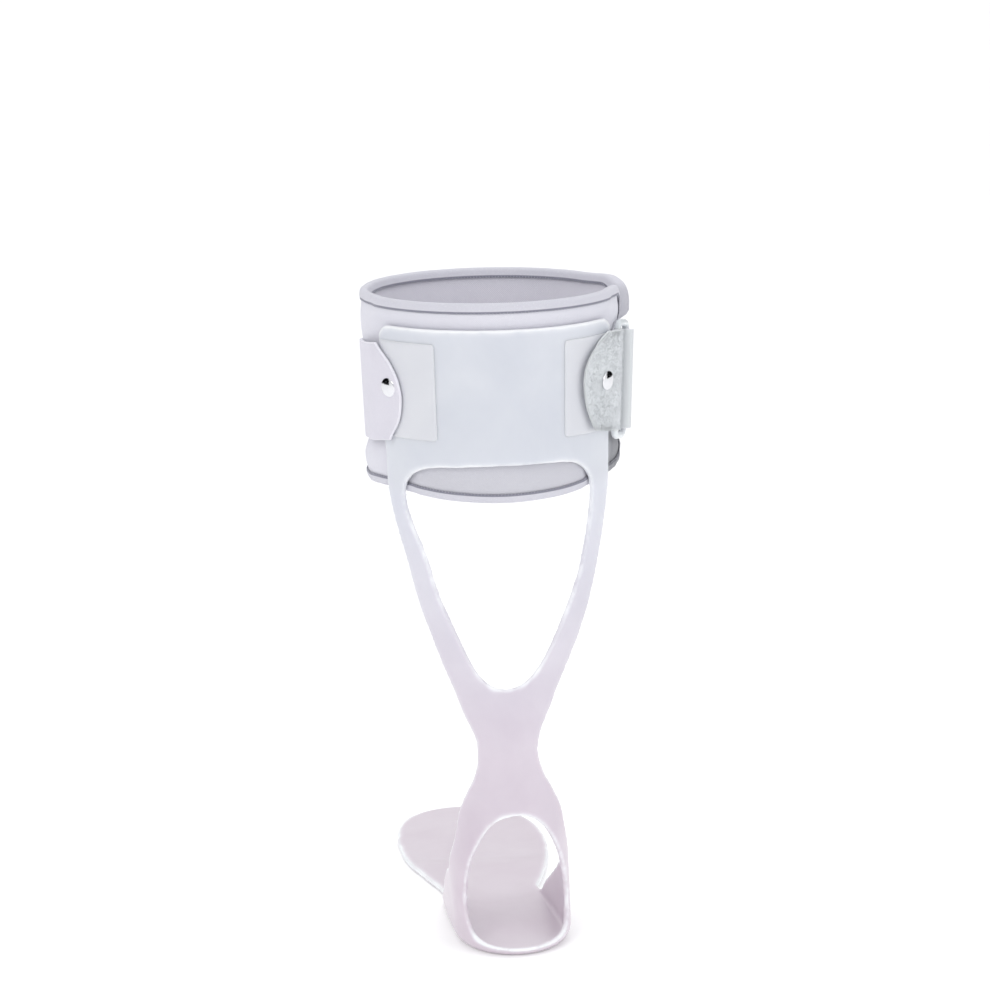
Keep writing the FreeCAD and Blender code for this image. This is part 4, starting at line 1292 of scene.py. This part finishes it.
def build_floor(half_width=7.0, bend_y=1.6, bend_radius=1.2, drop=0.0006):
    """Level floor that curves up into a wall beyond the toes."""
    profile = [(-6.0, 0.0), (bend_y, 0.0)]
    for turn in span(0, math.pi / 2, 16)[1:]:
        profile.append((bend_y + bend_radius * math.sin(turn),
                        bend_radius - bend_radius * math.cos(turn)))
    profile.append((bend_y + bend_radius, 6.0))
    verts = [(x, y, z - drop) for y, z in profile for x in (-half_width, half_width)]
    faces = [(2 * i, 2 * i + 1, 2 * i + 3, 2 * i + 2) for i in range(len(profile) - 1)]
    return make_object("studio_floor", verts, faces, [floor_material()])


build_floor()

world = bpy.data.worlds.new("studio")
scene.world = world
world.use_nodes = True
background = world.node_tree.nodes["Background"]
background.inputs["Color"].default_value = (0.98, 0.99, 1.0, 1)
background.inputs["Strength"].default_value = 0.80


def area_light(name, location, target, size, power, colour=(1, 1, 1)):
    """Square area light aimed at target."""
    light = bpy.data.lights.new(name, "AREA")
    light.shape = "RECTANGLE"
    light.size = light.size_y = size
    light.energy = power
    light.color = colour
    lamp = bpy.data.objects.new(name, light)
    scene.collection.objects.link(lamp)
    lamp.location = location
    lamp.rotation_euler = (V(target) - V(location)).to_track_quat("-Z", "Y").to_euler()


area_light("key", (-1.1, -1.5, 1.5), target=(0, 0, 0.2), size=1.0, power=9.5,
           colour=(1.0, 0.995, 0.99))
area_light("fill", (1.6, -1.2, 0.8), target=(0, 0, 0.2), size=1.2, power=6,
           colour=(0.97, 0.98, 1.0))
area_light("top", (0.1, 0.3, 2.0), target=(0, 0.05, 0.1), size=1.6, power=7)


def build_flags(low=0.12, high=1.7):
    """Upright black sheets at both sides, seen only in reflections."""
    shader = Shader("black_flag")
    black = shader.finish(shader.node("ShaderNodeEmission", {"Color": (0.004, 0.004, 0.005)}))
    for x, rear, front in ((-1.3, -0.12, 2.2), (1.3, 0.05, 2.5)):
        corners = [(x, rear, low), (x, front, low), (x, front, high), (x, rear, high)]
        flag = make_object("black_flag", corners, [(0, 1, 2, 3)], [black])
        flag.visible_camera = False
        flag.visible_diffuse = False
        flag.visible_transmission = False
        flag.visible_volume_scatter = False
        flag.visible_shadow = False


build_flags()
scene.view_settings.view_transform = "Standard"

# the camera stands behind the brace, a little to its left and above
AZIMUTH, ELEVATION, ROLL = math.radians(-5), math.radians(12.5), math.radians(-1.0)
CAMERA_TARGET = V((-2.2, 0, 236.4))      # mm
CAMERA_DISTANCE = 1600.0                 # mm
SENSOR_WIDTH, LENS = 36.0, 114.618182    # mm


def build_camera():
    back = V((math.sin(AZIMUTH) * math.cos(ELEVATION),
              -math.cos(AZIMUTH) * math.cos(ELEVATION), math.sin(ELEVATION)))
    level = (-back).cross(V((0, 0, 1))).normalized()
    upright = level.cross(-back)
    right = level * math.cos(ROLL) + upright * math.sin(ROLL)
    above = -level * math.sin(ROLL) + upright * math.cos(ROLL)
    data = bpy.data.cameras.new("camera")
    data.sensor_width = SENSOR_WIDTH
    data.lens = LENS
    data.clip_start, data.clip_end = 0.05, 30.0
    camera = bpy.data.objects.new("camera", data)
    scene.collection.objects.link(camera)
    camera.rotation_mode = "QUATERNION"
    camera.rotation_quaternion = Matrix((right, above, back)).transposed().to_quaternion()
    camera.location = (CAMERA_TARGET + back * CAMERA_DISTANCE) * MM
    scene.camera = camera


build_camera()
